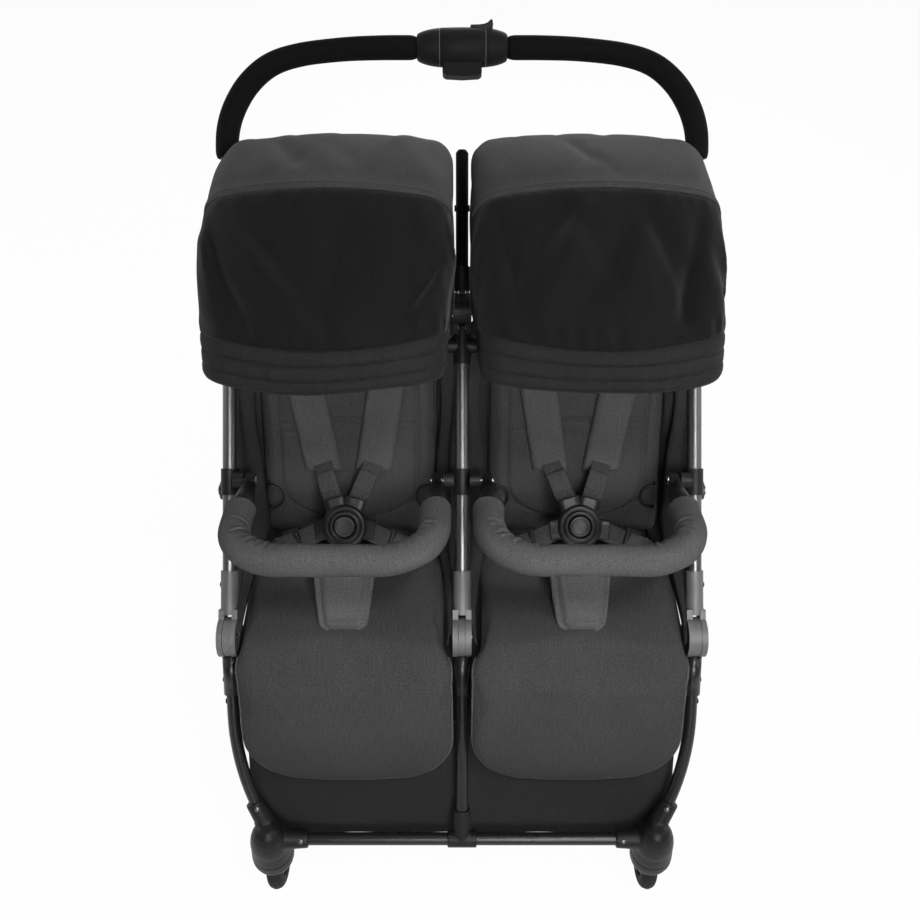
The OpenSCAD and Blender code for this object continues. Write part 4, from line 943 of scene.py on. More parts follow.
def back_grid(columns, rows):
    u = np.sin(np.linspace(-math.pi / 2, math.pi / 2, columns))
    v = np.sin(np.linspace(-math.pi / 2, math.pi / 2, rows))
    x, z = np.meshgrid(0.1335 * u, 0.2435 + 0.2110 * v)
    x = x * (1 - 0.012 * (1 - v[:, None] ** 2))
    face = np.maximum(back_depth(x, z) - 0.0035, 0.007)
    rim = (np.abs(u)[None, :] == 1) | (np.abs(v)[:, None] == 1)
    return on_back(x, np.where(rim, -0.007, -face), z), on_back(x, -0.0035 + 0 * x, z)


def quilted(piece):
    """Presses the liner's seam, channels and tucks into the front of the pad."""
    p = coords(piece)
    c, s = math.cos(math.radians(BACK_LEAN)), math.sin(math.radians(BACK_LEAN))
    x, far, high = p[:, 0], p[:, 1] - BACK_Y, p[:, 2] - BACK_Z
    y, z = far * c - high * s, far * s + high * c
    foot = np.clip((0.125 - z) / 0.060, 0, 1)
    liner = 0.101 * np.sqrt(np.maximum(1 - foot ** 2.4, 0)) - np.abs(x)
    press = 0.0048 * np.exp(-(liner / 0.0034) ** 2) * (z < 0.43)
    inside = liner > -0.002
    for at in (0.212, 0.322):
        line = z - at - 0.006 * np.cos(x / 0.101 * 1.5)
        press = np.maximum(press, 0.0036 * np.exp(-(line / 0.0034) ** 2) * inside)
        for k in (-1, 1):
            tuck = z - at - 0.010 * k - 0.10 * k * (np.abs(x) - 0.10)
            press = np.maximum(press, 0.0020 * np.exp(-(tuck / 0.0026) ** 2)
                               * np.exp(-((np.abs(x) - 0.082) / 0.022) ** 4) * inside)
    swell = 0.0022 * np.exp(-((liner - 0.03) / 0.03) ** 2) * inside
    out = (y < -0.012) * np.clip((-y - 0.010) / 0.01, 0, 1)
    push = (press - swell) * out
    p[:, 1] += push * c
    p[:, 2] -= push * s
    return set_coords(piece, p)


pattern = facing_out(puffed(cushion("back_pad", *back_grid(44, 60), back_cloth), 0.0052, 0.0040))
quilted(finer(pattern, 2))
for side, sign in SIDES:
    pad = copy_of(pattern, "backrest_cushion_" + side)
    pad_at = coords(pad)
    ripple = np.sin(pad_at[:, 0] * 53 + 3 * sign) * np.sin(pad_at[:, 2] * 47 + sign)
    pad_at += 0.0008 * ripple[:, None] * np.array([0, -0.9, 0.4])
    set_coords(pad, pad_at + np.array([sign * SEAT, 0, 0]))
    cloth_map(pad)
    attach(pad, "backrest_" + side)
    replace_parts(pad, "backrest_pad_" + side)
bpy.data.objects.remove(pattern)


# Backrest covers: plain cloth drawn tight behind each board, with the raised
# hem of a flat pocket across it.
basket_cloth = woven("basket_cloth", (0.0130, 0.0130, 0.0143), (0.0390, 0.0390, 0.0403), 0.0013,
                     roughness=0.85)
for side, sign in SIDES:
    u, v = np.meshgrid(np.linspace(-1, 1, 33), np.linspace(0, 1, 49))
    x = 0.1300 * u
    z = 0.040 + 0.405 * v
    bow = 0.0055 + 0.006 * round_in(1 - np.abs(u), 0.35) * round_in(np.minimum(v, 1 - v), 0.12)
    bow += 0.0012 * np.sin(11 * u + sign) * np.sin(9 * v) + 0.0030 * np.exp(-((v - 0.62) / 0.012) ** 2)
    behind = on_back(x + sign * SEAT, bow, z)
    rear = piece_from("backrest_rear_" + side, behind, sheet_faces(*x.shape), basket_cloth)
    cloth_map(thickened(rear, 0.0016))
    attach(rear, "backrest_" + side)


# Side panels: thin cloth sewn along each seat tube, down to the side of the
# seat and up the edge of the backrest. It hangs in folds.
def beside_tube(s, n):
    return on_tube(0.1592, -n, s)


def follow(piece, still, moving, start, end, share):
    """Bakes a soft piece's place into its mesh. share is not used."""
    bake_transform(piece)
    return piece


def marked(piece, name, values):
    """Writes a point attribute that lasts through the modifiers."""
    mark = piece.data.attributes.new(name, "FLOAT", "POINT")
    mark.data.foreach_set("value", np.ravel(values).astype(np.float32))
    return piece


def kept(piece, name):
    """A point attribute read back from a finished mesh."""
    values = np.empty(len(piece.data.vertices), np.float32)
    piece.data.attributes[name].data.foreach_get("value", values)
    return values


def soft_step(t):
    t = np.clip(t, 0, 1)
    return t * t * (3 - 2 * t)


panel_cloth = woven("panel_cloth", (0.0136, 0.0136, 0.0150), (0.0490, 0.0490, 0.0503), 0.0011, roughness=0.85)
back_edge = [(0.116, 0.036), (0.122, 0.075), (0.128, 0.120), (0.130, 0.180), (0.130, 0.250), (0.130, 0.335),
             (0.130, 0.420)]
panel_inner = [(0.1465, -0.268, 0.4420), (0.1475, -0.225, 0.4440), (0.1440, -0.160, 0.4440),
               (0.1290, -0.108, 0.4440), *[tuple(on_back(x, -0.0035, z)) for x, z in back_edge]]
for side, sign in SIDES:
    for edge in (-1, 1):
        u, v = np.meshgrid(np.linspace(0, 1, 19), np.linspace(0, 1, 81))
        outer = beside_tube(0.042 + 0.398 * v, -0.0015)
        points = outer + (smooth_path(panel_inner, 81)[:, None] - outer) * u[..., None]
        mid = np.sin(math.pi * u)
        fold = mid * (0.0050 * np.sin(11.0 * u + 4 * v + sign) + 0.0026 * np.sin(19 * v + 3 * edge + 2 * u))
        points[..., 0] -= fold + 0.0040 * mid * np.sin(math.pi * v)
        points[..., 1] += 0.0030 * mid * np.sin(14 * v + sign)
        points[..., 0] = edge * points[..., 0] + sign * SEAT
        name = "side_panel_" + side + ("_outer" if edge == sign else "_inner")
        panel = piece_from(name, points, sheet_faces(*u.shape), panel_cloth)
        marked(panel, "turn", soft_step(u) * soft_step((v - 0.34) / 0.16))
        cloth_map(facing_out(thickened(panel, 0.0014)))
        follow(panel, "main_frame", "backrest_" + side, (sign * SEAT + edge * 0.155, -0.05, 0.56),
               (sign * SEAT + edge * 0.130, -0.03, 0.56), kept(panel, "turn"))
        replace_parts(panel, "seat_side_panels")


# Harness: padded shoulder sleeves in a V on each back, flat webbing down to a
# round buckle, lap straps with ladder adjusters, and a bound crotch pad.
webbing = woven("harness_webbing", (0.0234, 0.0234, 0.0247), (0.0910, 0.0910, 0.0936), 0.0020,
                roughness=0.75, twill=True)
pad_cloth = woven("pad_melange", (0.0430, 0.0430, 0.0441), (0.1504, 0.1504, 0.1536), 0.0013)
shoulder_cloth = woven("shoulder_melange", (0.0310, 0.0310, 0.0326), (0.1209, 0.1209, 0.1240), 0.0013)
buckle_plastic = hard_finish("buckle_plastic", (0.005, 0.005, 0.005), (0.012, 0.012, 0.012), 0.34, 1200,
                             0.00008, specular=0.25)


def back_front(x, z):
    return back_depth(x, z) + 0.0012


def sleeve(sign, edge):
    """One shoulder pad: a flat sleeve, thicker along its middle, hemmed at both ends."""
    u = np.sin(np.linspace(-math.pi / 2, math.pi / 2, 19))
    v = np.linspace(0, 1, 57)
    wide, run = np.meshgrid(u, v)
    z = 0.140 + 0.250 * run
    x = 0.036 + 0.17 * (z - 0.140) + 0.0275 * wide
    under = back_front(x, z)
    hem = np.exp(-((run - 0.075) / 0.008) ** 2) + np.exp(-((np.abs(wide) - 0.80) / 0.05) ** 2)
    rise = 0.0115 * round_in(1 - np.abs(wide), 0.30) * round_in(np.minimum(run, 1 - run) + 0.012, 0.05)
    rise -= 0.0011 * hem
    rise += 0.0009 * np.sin(31 * run + 2 * edge) * np.sin(2.4 * wide + sign)
    rim = (np.abs(wide) == 1) | (run == 0) | (run == 1)
    top = np.where(rim, -(under + 0.0020), -(under + np.maximum(rise, 0.003)))
    return (on_back(edge * x + sign * SEAT, top, z), on_back(edge * x + sign * SEAT, -(under + 0.0004), z))


def ribbon(name, path, up, width, thick, material, bulge=0.0):
    """Flat webbing along a path: a thin band with firm edges, mapped along its length."""
    across, top = carried(path, up)[1:]
    section = np.array([(-0.5, 0.25), (-0.46, 0.5), (-0.2, 0.5), (0, 0.5), (0.2, 0.5), (0.46, 0.5),
                        (0.5, 0.25), (0.5, -0.25), (0.46, -0.5), (0.2, -0.5), (0, -0.5), (-0.2, -0.5),
                        (-0.46, -0.5), (-0.5, -0.25)])
    curl = bulge * (1 - (2 * section[:, 0]) ** 2)
    rings = (path[:, None] + across[:, None] * (width * section[None, :, 0, None])
             + top[:, None] * (thick * section[:, 1] + curl)[None, :, None])
    band = facing_out(piece_from(name, rings, ring_faces(len(path), len(section)), material))
    along = run_along(path)[:, None]
    laid = np.stack(np.broadcast_arrays(width * section[None, :, 0], along), -1).reshape(-1, 2)
    return lay_map(band, laid[corner_points(band)])


on_buckle = leaning(45, -0.140, 0.550)
back_out = on_back(0, -1, 0) - on_back(0, 0, 0)
buckle_up = on_buckle(0, 0, 1) - on_buckle(0, 0, 0)
strap_up = np.array([0, -0.75, 0.66])


def turned_form(name, profile, sign, material, steps=56):
    """A lathe form on the buckle's axis from (radius, height) pairs; the first and last lie on the axis."""
    angle = np.linspace(0, 2 * math.pi, steps, endpoint=False)
    rings = [on_buckle(r * np.cos(angle) + sign * SEAT, r * np.sin(angle), h + 0 * angle)
             for r, h in profile[1:-1]]
    ends = [on_buckle(sign * SEAT, 0, profile[k][1]) for k in (0, -1)]
    count = len(rings)
    faces = ring_faces(count, steps, caps=False)
    faces += [(count * steps, k, (k + 1) % steps) for k in range(steps)]
    last = (count - 1) * steps
    faces += [(count * steps + 1, last + (k + 1) % steps, last + k) for k in range(steps)]
    return facing_out(piece_from(name, np.vstack([*rings, *[e[None] for e in ends]]), faces, material))


for side, sign in SIDES:
    sleeves = [divided(facing_out(cushion("sleeve", *sleeve(sign, edge), shoulder_cloth)))
               for edge in (-1, 1)]
    # The webbing comes out of the back above each sleeve and runs on below it.
    for edge in (-1, 1):
        head = [on_back(edge * x + sign * SEAT, -back_front(x, z) - lift, z)
                for x, z, lift in ((0.0760, 0.378, 0.004), (0.0795, 0.398, 0.003), (0.0825, 0.414, 0.001))]
        sleeves.append(ribbon("strap_head", smooth_path(head, 14), back_out, 0.027, 0.0026, webbing))
    harness = joined("shoulder_sleeves_" + side, sleeves)
    cloth_map(harness)
    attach(harness, "backrest_" + side)
    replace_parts(harness, "shoulder_harness_" + side)

    for edge in (-1, 1):
        far = on_back(edge * 0.0385 + sign * SEAT, -back_front(0.0385, 0.155) - 0.006, 0.158)
        low = on_buckle(edge * 0.0128 + sign * SEAT, 0.0285, 0.001)
        path = smooth_path([low, low + (far - low) * 0.35 + np.array([0, -0.002, -0.002]),
                            low + (far - low) * 0.7 + np.array([0, -0.002, 0]), far], 40)
        name = "shoulder_strap_" + side + ("_a" if edge < 0 else "_b")
        strap = ribbon(name, path, strap_up, 0.0275, 0.0026, webbing)
        double = ribbon("fold", path[14:30] + 0.0022 * strap_up, strap_up, 0.0275, 0.0024, webbing)
        strap = joined(name, [strap, double])
        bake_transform(strap)
        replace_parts(strap, "harness_webbing")

    # Lap straps and their adjusters, with the tongues that click into the buckle.
    lap = []
    for edge in (-1, 1):
        at = sign * SEAT
        path = smooth_path([on_buckle(edge * 0.030 + at, -0.004, 0.000), (edge * 0.052 + at, -0.151, 0.541),
                            (edge * 0.078 + at, -0.149, 0.526), (edge * 0.100 + at, -0.138, 0.502),
                            (edge * 0.116 + at, -0.124, 0.474), (edge * 0.124 + at, -0.112, 0.4515)], 46)
        up = np.array([0, -0.72, 0.69])
        lap.append(ribbon("lap", path, up, 0.0265, 0.0026, webbing))
        fold = path[12:27] + 0.0042 * up + np.linspace(0, 0.006, 15)[:, None] * up
        lap.append(ribbon("lap_fold", fold, up, 0.0265, 0.0024, webbing, 0.001))
        for k, width in ((11, 0.0335), (15, 0.0335)):
            bar = path[k:k + 3] + 0.0030 * up
            lap.append(ribbon("adjuster_bar", bar, up, width, 0.0070, buckle_plastic))
        for k in (-1, 1):
            rail = path[10:19] + 0.0030 * up + k * 0.0155 * carried(path, up)[1][10:19]
            lap.append(ribbon("adjuster_rail", rail, up, 0.0040, 0.0078, buckle_plastic))
        for x, y, go_x, go_y in ((edge * 0.0128, 0.0285, edge * 0.26, 0.97),
                                 (edge * 0.030, -0.004, edge, -0.1)):
            tongue = [on_buckle(x + at + go_x * d, y + go_y * d, 0.0005)
                      for d in (-0.004, 0.004, 0.010, 0.013)]
            lap.append(ribbon("tongue", smooth_path(tongue, 8), buckle_up, 0.030, 0.0062, buckle_plastic))
    foot = [on_buckle(sign * SEAT, -0.024 - d, 0.0) for d in (0, 0.006, 0.012)]
    lap.append(ribbon("tongue", smooth_path(foot, 8), buckle_up, 0.034, 0.0064, buckle_plastic))
    straps = joined("lap_straps_" + side, lap)
    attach(straps, "main_frame")

    buckle = turned_form("buckle_" + side, [
        (0, -0.0070), (0.0285, -0.0070), (0.0310, -0.0058), (0.0320, -0.0030), (0.0320, 0.0022),
        (0.0312, 0.0046), (0.0290, 0.0062), (0.0255, 0.0068), (0.0246, 0.0066), (0.0240, 0.0057),
        (0.0232, 0.0057), (0.0226, 0.0067), (0.0190, 0.0071), (0.0168, 0.0068), (0.0160, 0.0056),
        (0.0158, -0.0030), (0, -0.0030)], sign, buckle_plastic)
    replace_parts(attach(buckle, "main_frame"), "harness_buckles")
    button = turned_form("buckle_press_" + side, [
        (0, 0.0006), (0.0148, 0.0006), (0.0149, 0.0066), (0.0143, 0.0080), (0.0130, 0.0086), (0.0116, 0.0084),
        (0.0104, 0.0072), (0.0096, 0.0070), (0.0060, 0.0067), (0, 0.0066)], sign, wheel_plastic)
    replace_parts(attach(button, "button_" + side), "buckle_button_" + side)

    # Crotch pad: a flat pad with a bound edge and a slot for its strap.
    u = np.sin(np.linspace(-math.pi / 2, math.pi / 2, 25))
    v = np.linspace(0, 1, 45)
    wide, run = np.meshgrid(u, v)
    half = 0.0450 - 0.0125 * (1 - run) ** 1.6 - 0.012 * np.clip(0.10 - run, 0, 1) / 0.10
    low, high = np.array([0, -0.258, 0.4575]), np.array([0, -0.1655, 0.5245])
    base = low[None, None] + run[..., None] * (high - low)
    out = np.array([0, -0.57, 0.82])
    step = np.minimum((1 - np.abs(wide)) * half, np.minimum(run + 0.03, 1.02 - run) * 0.115)
    rise = 0.0046 * round_in(step, 0.003) + 0.0075 * round_in(step - 0.0095, 0.008)
    rise -= 0.0034 * np.exp(-((step - 0.0095) / 0.0019) ** 2)
    rise -= 0.0050 * np.exp(-((run - 0.155) / 0.016) ** 2) * (np.abs(wide * half) < 0.019)
    top = base + out * (rise + 0.0012)[..., None]
    under = base + out * (-0.0015 + 0 * rise)[..., None]
    for grid in (top, under):
        grid[..., 0] = half * wide + sign * SEAT
    rim = (np.abs(wide) == 1) | (run == 0) | (run == 1)
    top = np.where(rim[..., None], (top + under) / 2, top)
    crotch = facing_out(cushion("crotch_pad_" + side, top, under, pad_cloth))
    cloth_map(divided(crotch))
    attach(crotch, "main_frame")
    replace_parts(crotch, "crotch_pads")
    lip = [(sign * SEAT + d, -0.2620, 0.4595) for d in (-0.021, -0.018, 0, 0.018, 0.021)]
    slider = swept(smooth_path(lip, 24), (0, -0.5, 0.85), 0.0021, 10)
    bar = piece_from("crotch_bar_" + side, slider, ring_faces(24, 10), buckle_plastic)
    drop = [(sign * SEAT, -0.2590, 0.4580), (sign * SEAT, -0.2640, 0.4590), (sign * SEAT, -0.2655, 0.4540),
            (sign * SEAT, -0.2630, 0.4480)]
    tail = ribbon("crotch_tail_" + side, smooth_path(drop, 14), (0, -0.9, 0.4), 0.030, 0.0026, webbing)
    for one in (bar, tail):
        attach(one, "main_frame")

    # Loops for toys: black D-rings sewn into the side seams of the liner.
    loops = []
    for edge in (-1, 1):
        arc = np.linspace(-math.pi / 2, math.pi / 2, 18)
        stand = -back_depth(0.104, 0.100) - 0.0042
        line = [on_back(edge * (0.118 - 0.019 * math.cos(a)) + sign * SEAT, stand,
                        0.100 + 0.018 * math.sin(a)) for a in arc]
        ends = [on_back(edge * 0.121 + sign * SEAT, -0.028, z) for z in (0.081, 0.119)]
        rings = swept(smooth_path([ends[0], *line, ends[1]], 40), back_out, 0.0021, 8)
        loops.append(piece_from("loop", rings, ring_faces(40, 8), buckle_plastic))
    ring = joined("liner_loops_" + side, loops)
    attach(ring, "backrest_" + side)


# Bumper bars: a bent tube in a padded sleeve of melange cloth, drawn tight on
# the straight and gathered into creases on the inside of both bends.
on_bumper = leaning(-13, -0.10027, 0.60424)
bumper_cloth = woven("bumper_melange", (0.0367, 0.0367, 0.0377), (0.1408, 0.1408, 0.1438), 0.0013)
quarter = np.linspace(0, math.pi / 2, 12)[1:-1]
bar_line = [(-0.132, -0.066), (-0.132, -0.090), (-0.132, -0.116)]
bar_line += [(-0.060 - 0.072 * math.cos(a), -0.118 - 0.072 * math.sin(a)) for a in quarter]
bar_line += [(-0.060, -0.190), (-0.030, -0.190), (0, -0.190)]
bar_line += [(-x, y) for x, y in bar_line[-2::-1]]
for side, sign in SIDES:
    path = smooth_path([on_bumper(x + sign * SEAT, y, 0) for x, y in bar_line], 260)
    lift = on_bumper(0, 0, 1) - on_bumper(0, 0, 0)
    tangent, across, top = carried(path, lift)
    bend = np.gradient(tangent, axis=0)
    tight = np.linalg.norm(bend, axis=1)
    inward = bend / np.maximum(tight, 1e-6)[:, None]
    tight = np.convolve(np.clip(tight / np.percentile(tight, 80), 0, 1), np.ones(15) / 15, "same")
    angle = np.linspace(0, 2 * math.pi, 40, endpoint=False)
    out = np.cos(angle)[None, :, None] * across[:, None] + np.sin(angle)[None, :, None] * top[:, None]
    inner = np.clip((out * inward[:, None]).sum(-1) + 0.40, 0, 1) * tight[:, None]
    run = run_along(path)[:, None]
    crease = np.sin(run * 640 + 1.1 * np.sin(angle * 2 + 3 * run * 60) + sign)
    crease = 0.45 * crease + 0.55 * np.sin(run * 431 + 2 * np.cos(angle) + 2 * sign)
    ends = np.minimum(run, run[-1] - run)
    radius = 0.0208 + 0.0006 * np.sin(run * 17 + sign) + 0.0022 * inner * crease
    radius += 0.0006 * (1 - inner) * np.sin(run * 53 + angle * 2) * np.sin(angle + run * 31)
    radius -= 0.0050 * np.exp(-(ends / 0.006) ** 2) - 0.0010 * np.exp(-((ends - 0.010) / 0.004) ** 2)
    radius -= 0.0016 * np.exp(-(np.angle(np.exp(1j * (angle - 4.1))) / 0.11) ** 2)[None, :]
    rings = path[:, None] + radius[..., None] * out
    sleeve_piece = facing_out(piece_from("bumper_sleeve_" + side, rings, ring_faces(260, 40), bumper_cloth))
    cloth_map(divided(sleeve_piece))
    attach(sleeve_piece, "bumper_" + side)
    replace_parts(sleeve_piece, "bumper_cover_" + side)
    arms = []
    for x in (sign * SEAT - 0.132, sign * SEAT + 0.132):
        rings = rod(on_bumper(x, -0.013, 0), on_bumper(x, -0.072, 0), 0.0090, 0.0165)
        arms.append(piece_from("arm", rings, ring_faces(2, 32), black_plastic))
    arms = joined("bumper_arms_" + side, arms)
    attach(arms, "bumper_" + side)


# Canopies: one sheet over three bows, a rear panel lapped over a dark front one at the middle bow,
# slack between them, with a stitched double hem. The rear panel is the same dark cloth painted
# lighter: a painted sheen for the light it catches at a grazing view.
CANOPY_LEAN, PIVOT_Y, PIVOT_Z = 44, 0.05106, 0.72640
on_canopy = leaning(-CANOPY_LEAN, PIVOT_Y, PIVOT_Z)
# The rear panel's lighter colour is painted sheen: the front panel's dark cloth, painted lighter.
canopy_rear_cloth_painted_sheen = woven("canopy_rear_cloth_painted_sheen", (0.0187, 0.0187, 0.0192), (0.0786, 0.0786, 0.0805), 0.0012,
                          roughness=0.7, sheen=0.07, twill=True, slub=0.4)
canopy_front_cloth = woven("canopy_front_cloth", (0.0031, 0.0031, 0.0033), (0.0179, 0.0179, 0.0184), 0.0012,
                           roughness=0.75, sheen=0.09, specular=0.02, twill=True, slub=0.4)
canopy_hem_cloth = woven("canopy_hem_cloth", (0.0069, 0.0069, 0.0071), (0.0332, 0.0332, 0.0342), 0.0012,
                         roughness=0.72, sheen=0.03, twill=True, slub=0.4)
# Near-black cloth for a painted shadow line along the lap at the middle bow.
lap_shadow_cloth = woven("lap_shadow_cloth", (0.0015, 0.0015, 0.0015), (0.004, 0.004, 0.004), 0.0009, specular=0.01)
thread = woven("sewing_thread", (0.05, 0.05, 0.051), (0.11, 0.11, 0.112), 0.0006, roughness=0.6)
BOW = 0.286
MID = 0.482
HEM_LINES = (0.902, 0.938, 0.972)


def ease(low, high, t):
    return low + (high - low) * np.clip(t, 0, 1)


def arch(v, count, lift):
    """One hoop of the canopy from side to side, as (x, reach from the pivot, run along it), evenly spaced."""
    corner = ease(0.026, 0.042, (v - 0.09) / 0.37)
    crown = math.radians(ease(7, 15, (v - 0.09) / 0.37))
    half = 0.149 - ease(0, 0.0084, (v - 0.5) / 0.5)
    big = (half - corner * (1 - math.sin(crown))) / math.sin(crown)
    knee = BOW - corner * math.cos(crown) - big * (1 - math.cos(crown))
    a = np.linspace(0, math.pi / 2 - crown, 24)
    b = np.linspace(math.pi / 2 - crown, math.pi / 2, 30)[1:]
    x = np.concatenate([[half + lift] * 12, half - corner + (corner + lift) * np.cos(a),
                        (big + lift) * np.cos(b)])
    d = np.concatenate([np.linspace(0.074, knee, 13)[:-1], knee + (corner + lift) * np.sin(a),
                        BOW - big + (big + lift) * np.sin(b)])
    x, d = np.concatenate([x, -x[-2::-1]]), np.concatenate([d, d[-2::-1]])
    run = np.concatenate([[0], np.cumsum(np.hypot(np.diff(x), np.diff(d)))])
    at = np.linspace(0, run[-1], count)
    return np.interp(at, run, x), np.interp(at, run, d), at


def creases(t, v, seed, count, v_low, v_high, strength):
    """Soft ridges that run from hoop to hoop, each leaning a little, from one fixed seed."""
    draw = np.random.default_rng(seed)
    height = np.zeros_like(t)
    for _ in range(count):
        t0, v0 = draw.uniform(0.10, 0.90), draw.uniform(v_low, v_high)
        lean, wide, long = draw.normal(0, 0.25), draw.uniform(0.010, 0.034), draw.uniform(0.09, 0.26)
        line = t - t0 - lean * (v - v0)
        height += draw.normal(0, 1) * np.exp(-(line / wide) ** 2 - ((v - v0) / long) ** 2)
    return strength * height


def bow_share(piece):
    """Each point's share between the rear and the front bow, by its angle about the canopy's pivot."""
    c, s = math.cos(math.radians(CANOPY_LEAN)), math.sin(math.radians(CANOPY_LEAN))
    at = coords(piece)
    y, z = at[:, 1] - PIVOT_Y, at[:, 2] - PIVOT_Z
    return np.clip((np.degrees(np.arctan2(s * z - c * y, s * y + c * z)) - 10) / 93, 0, 1)


def stitch_shape(start, given):
    bead = start.node("GeometryNodeMeshUVSphere", None, {
        "Segments": 8, "Rings": 5, "Radius": given["Radius"]})
    return start.node("GeometryNodeTransform", None, {"Geometry": bead, "Scale": (1.0, 1.0, 3.4)})


stitch_tree = scatter_tree("stitches", stitch_shape, {
    "Radius": "NodeSocketFloat", "Material": "NodeSocketMaterial"})


def stitches(name, lines, pitch, radius):
    """Thread laid in dashes along sewn lines."""
    places, aims = [], []
    for line in lines:
        run = np.linalg.norm(np.diff(line, axis=0), axis=1).sum()
        path = smooth_path(line, max(int(run / pitch), 4))
        places.append(path)
        aims.append(np.gradient(path, axis=0))
    return cloth_map(scattered(name, np.vstack(places), np.vstack(aims), stitch_tree,
                               {"Radius": radius, "Material": thread}))


def canopy_surface(t, r, sign, columns):
    """Points of the canopy cloth at shares t across and r from its rear edge to its hem."""
    side_of = np.clip(np.abs(t - 0.5) / 0.27, 0, 1) ** 2
    v = r - 0.030 * side_of * np.clip((r - 0.70) / 0.20, 0, 1) * np.clip((1 - r) / 0.098, 0, 1)
    hoops = [arch(row[0], columns, 0.0046) for row in r]
    x, d = np.array([h[0] for h in hoops]), np.array([h[1] for h in hoops])
    over = np.clip(1 - np.abs(t - 0.5) / 0.34, 0, 1) ** 0.5
    low = np.clip((d - 0.10) / 0.14, 0, 1)
    rear_slack = np.sin(math.pi * np.clip(r / MID, 0, 1)) ** 2
    front_slack = np.sin(math.pi * np.clip((r - MID) / (0.905 - MID), 0, 1)) ** 2
    push = -0.0045 * rear_slack * over - 0.0050 * front_slack * over
    push += creases(t, r, 11 + sign, 26, 0.08, 0.42, 0.0036) * np.sqrt(rear_slack) * low
    push += creases(t, r, 21 + sign, 40, 0.54, 0.90, 0.0075) * np.sqrt(front_slack) * low
    push += 0.0065 * np.sin(9 * t + 3 * r + sign) * front_slack * low
    push += 0.0028 * np.sin(130 * t + 9 * r + 3 * np.sin(23 * t)) * np.exp(-((r - 0.872) / 0.026) ** 2) * low
    push += (0.0012 * np.sin(170 * t + 4 * np.sin(17 * t + sign))
             * np.exp(-((r - MID - 0.028) / 0.02) ** 2) * over)
    # The rear panel laps over the front one. The hem is a channel for the bow,
    # with sewn lines and a rolled edge.
    push += (0.0030 * np.clip((r - MID + 0.050) / 0.05, 0, 1) * (r <= MID)
             + 0.0014 * np.exp(-((r - MID + 0.014) / 0.004) ** 2))
    push -= 0.0018 * np.exp(-((r - MID - 0.003) / 0.005) ** 2) * (r > MID)
    for line in HEM_LINES:
        push += 0.0007 * (r > line) * low - 0.0024 * np.exp(-((r - line) / 0.0042) ** 2) * low
    push += 0.0016 * np.exp(-((r - 0.920) / 0.011) ** 2) * low
    push += 0.0009 * np.sin(95 * t + 2 * sign + 2 * np.sin(31 * t)) * np.clip((r - 0.90) / 0.05, 0, 1) * low
    push -= 0.0050 * np.clip((r - 0.988) / 0.012, 0, 1) ** 2
    scallop = np.abs(np.sin(math.pi * 11 * t + 0.5 * sign + 0.9 * np.sin(9 * t)))
    pleat = (1 - scallop) ** 2
    push -= (0.0055 * pleat * np.exp(-(r / 0.05) ** 2) + 0.0026 * pleat * np.exp(-r / 0.10)) * low
    hem = 0.8 + 3.8 * (1 - side_of)
    a = 8 - 1.2 * (scallop - 0.5) * np.exp(-(r / 0.03) ** 2) * low + (95 + hem) * v
    a += 0.40 * np.sin(17 * t + 2 * sign) * np.clip((r - 0.9) / 0.1, 0, 1)
    reach = d + push * np.clip((d - 0.13) / 0.08, 0, 1)
    wide = x + np.sign(x) * push * (1 - np.clip((d - 0.20) / 0.06, 0, 1)) * 0.6
    points = on_canopy(wide + sign * SEAT, -reach * np.sin(np.radians(a)), reach * np.cos(np.radians(a)))
    return points, np.stack([[h[2] for h in hoops], 0.47 * r], -1)


COLUMNS = 161
fine_steps = (-0.006, -0.003, -0.001, 0.001, 0.003, 0.006)
fine_rows = [line + step for line in (*HEM_LINES, MID - 0.014, MID) for step in fine_steps]
rows = np.unique(np.round(np.concatenate([np.linspace(0, 1, 97), fine_rows, [0.004, 0.990, 0.995]]), 5))
t, r = np.meshgrid(np.linspace(0, 1, COLUMNS), rows)
for side, sign in SIDES:
    points, laid = canopy_surface(t, r, sign, COLUMNS)
    faces = [(a, d, c, b) for a, b, c, d in sheet_faces(*t.shape)]
    canopy = piece_from("canopy_" + side, points, faces, canopy_rear_cloth_painted_sheen)
    canopy.data.materials.append(canopy_front_cloth)
    canopy.data.materials.append(canopy_hem_cloth)
    panels = np.where(rows[:-1] < MID, 0, np.where(rows[:-1] < HEM_LINES[0], 1, 2))
    canopy.data.polygons.foreach_set("material_index", np.repeat(panels, COLUMNS - 1))
    lay_map(canopy, laid.reshape(-1, 2)[corner_points(canopy)])
    thickened(canopy, 0.0016, -1)
    bows = ((0, 0.211, 0.963), (0, -0.194, 0.873))
    follow(canopy, "main_frame", "front_bow_" + side, *bows, bow_share(canopy))
    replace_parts(canopy, "canopy_fabric_" + side)
    sewn_at = (MID - 0.020, HEM_LINES[0] - 0.006, *HEM_LINES[1:])
    sewn = [points[np.abs(rows - at).argmin(), 22:-22] for at in sewn_at]
    # A thin near-black cord along the lap at the middle bow: a painted shadow line under the rear panel's
    # edge.
    lap = smooth_path(points[np.abs(rows - MID - 0.004).argmin(), 10:-10], 160)
    rings = swept(lap, (0, -0.5, 0.87), 0.0014, 8)
    lap_shadow = cloth_map(piece_from("canopy_welt_" + side, rings, ring_faces(160, 8), lap_shadow_cloth))
    follow(lap_shadow, "main_frame", "front_bow_" + side, *bows, bow_share(lap_shadow))
    seam = stitches("canopy_stitches_" + side, sewn, 0.0058, 0.00055)
    follow(seam, "main_frame", "front_bow_" + side, *bows, bow_share(seam))
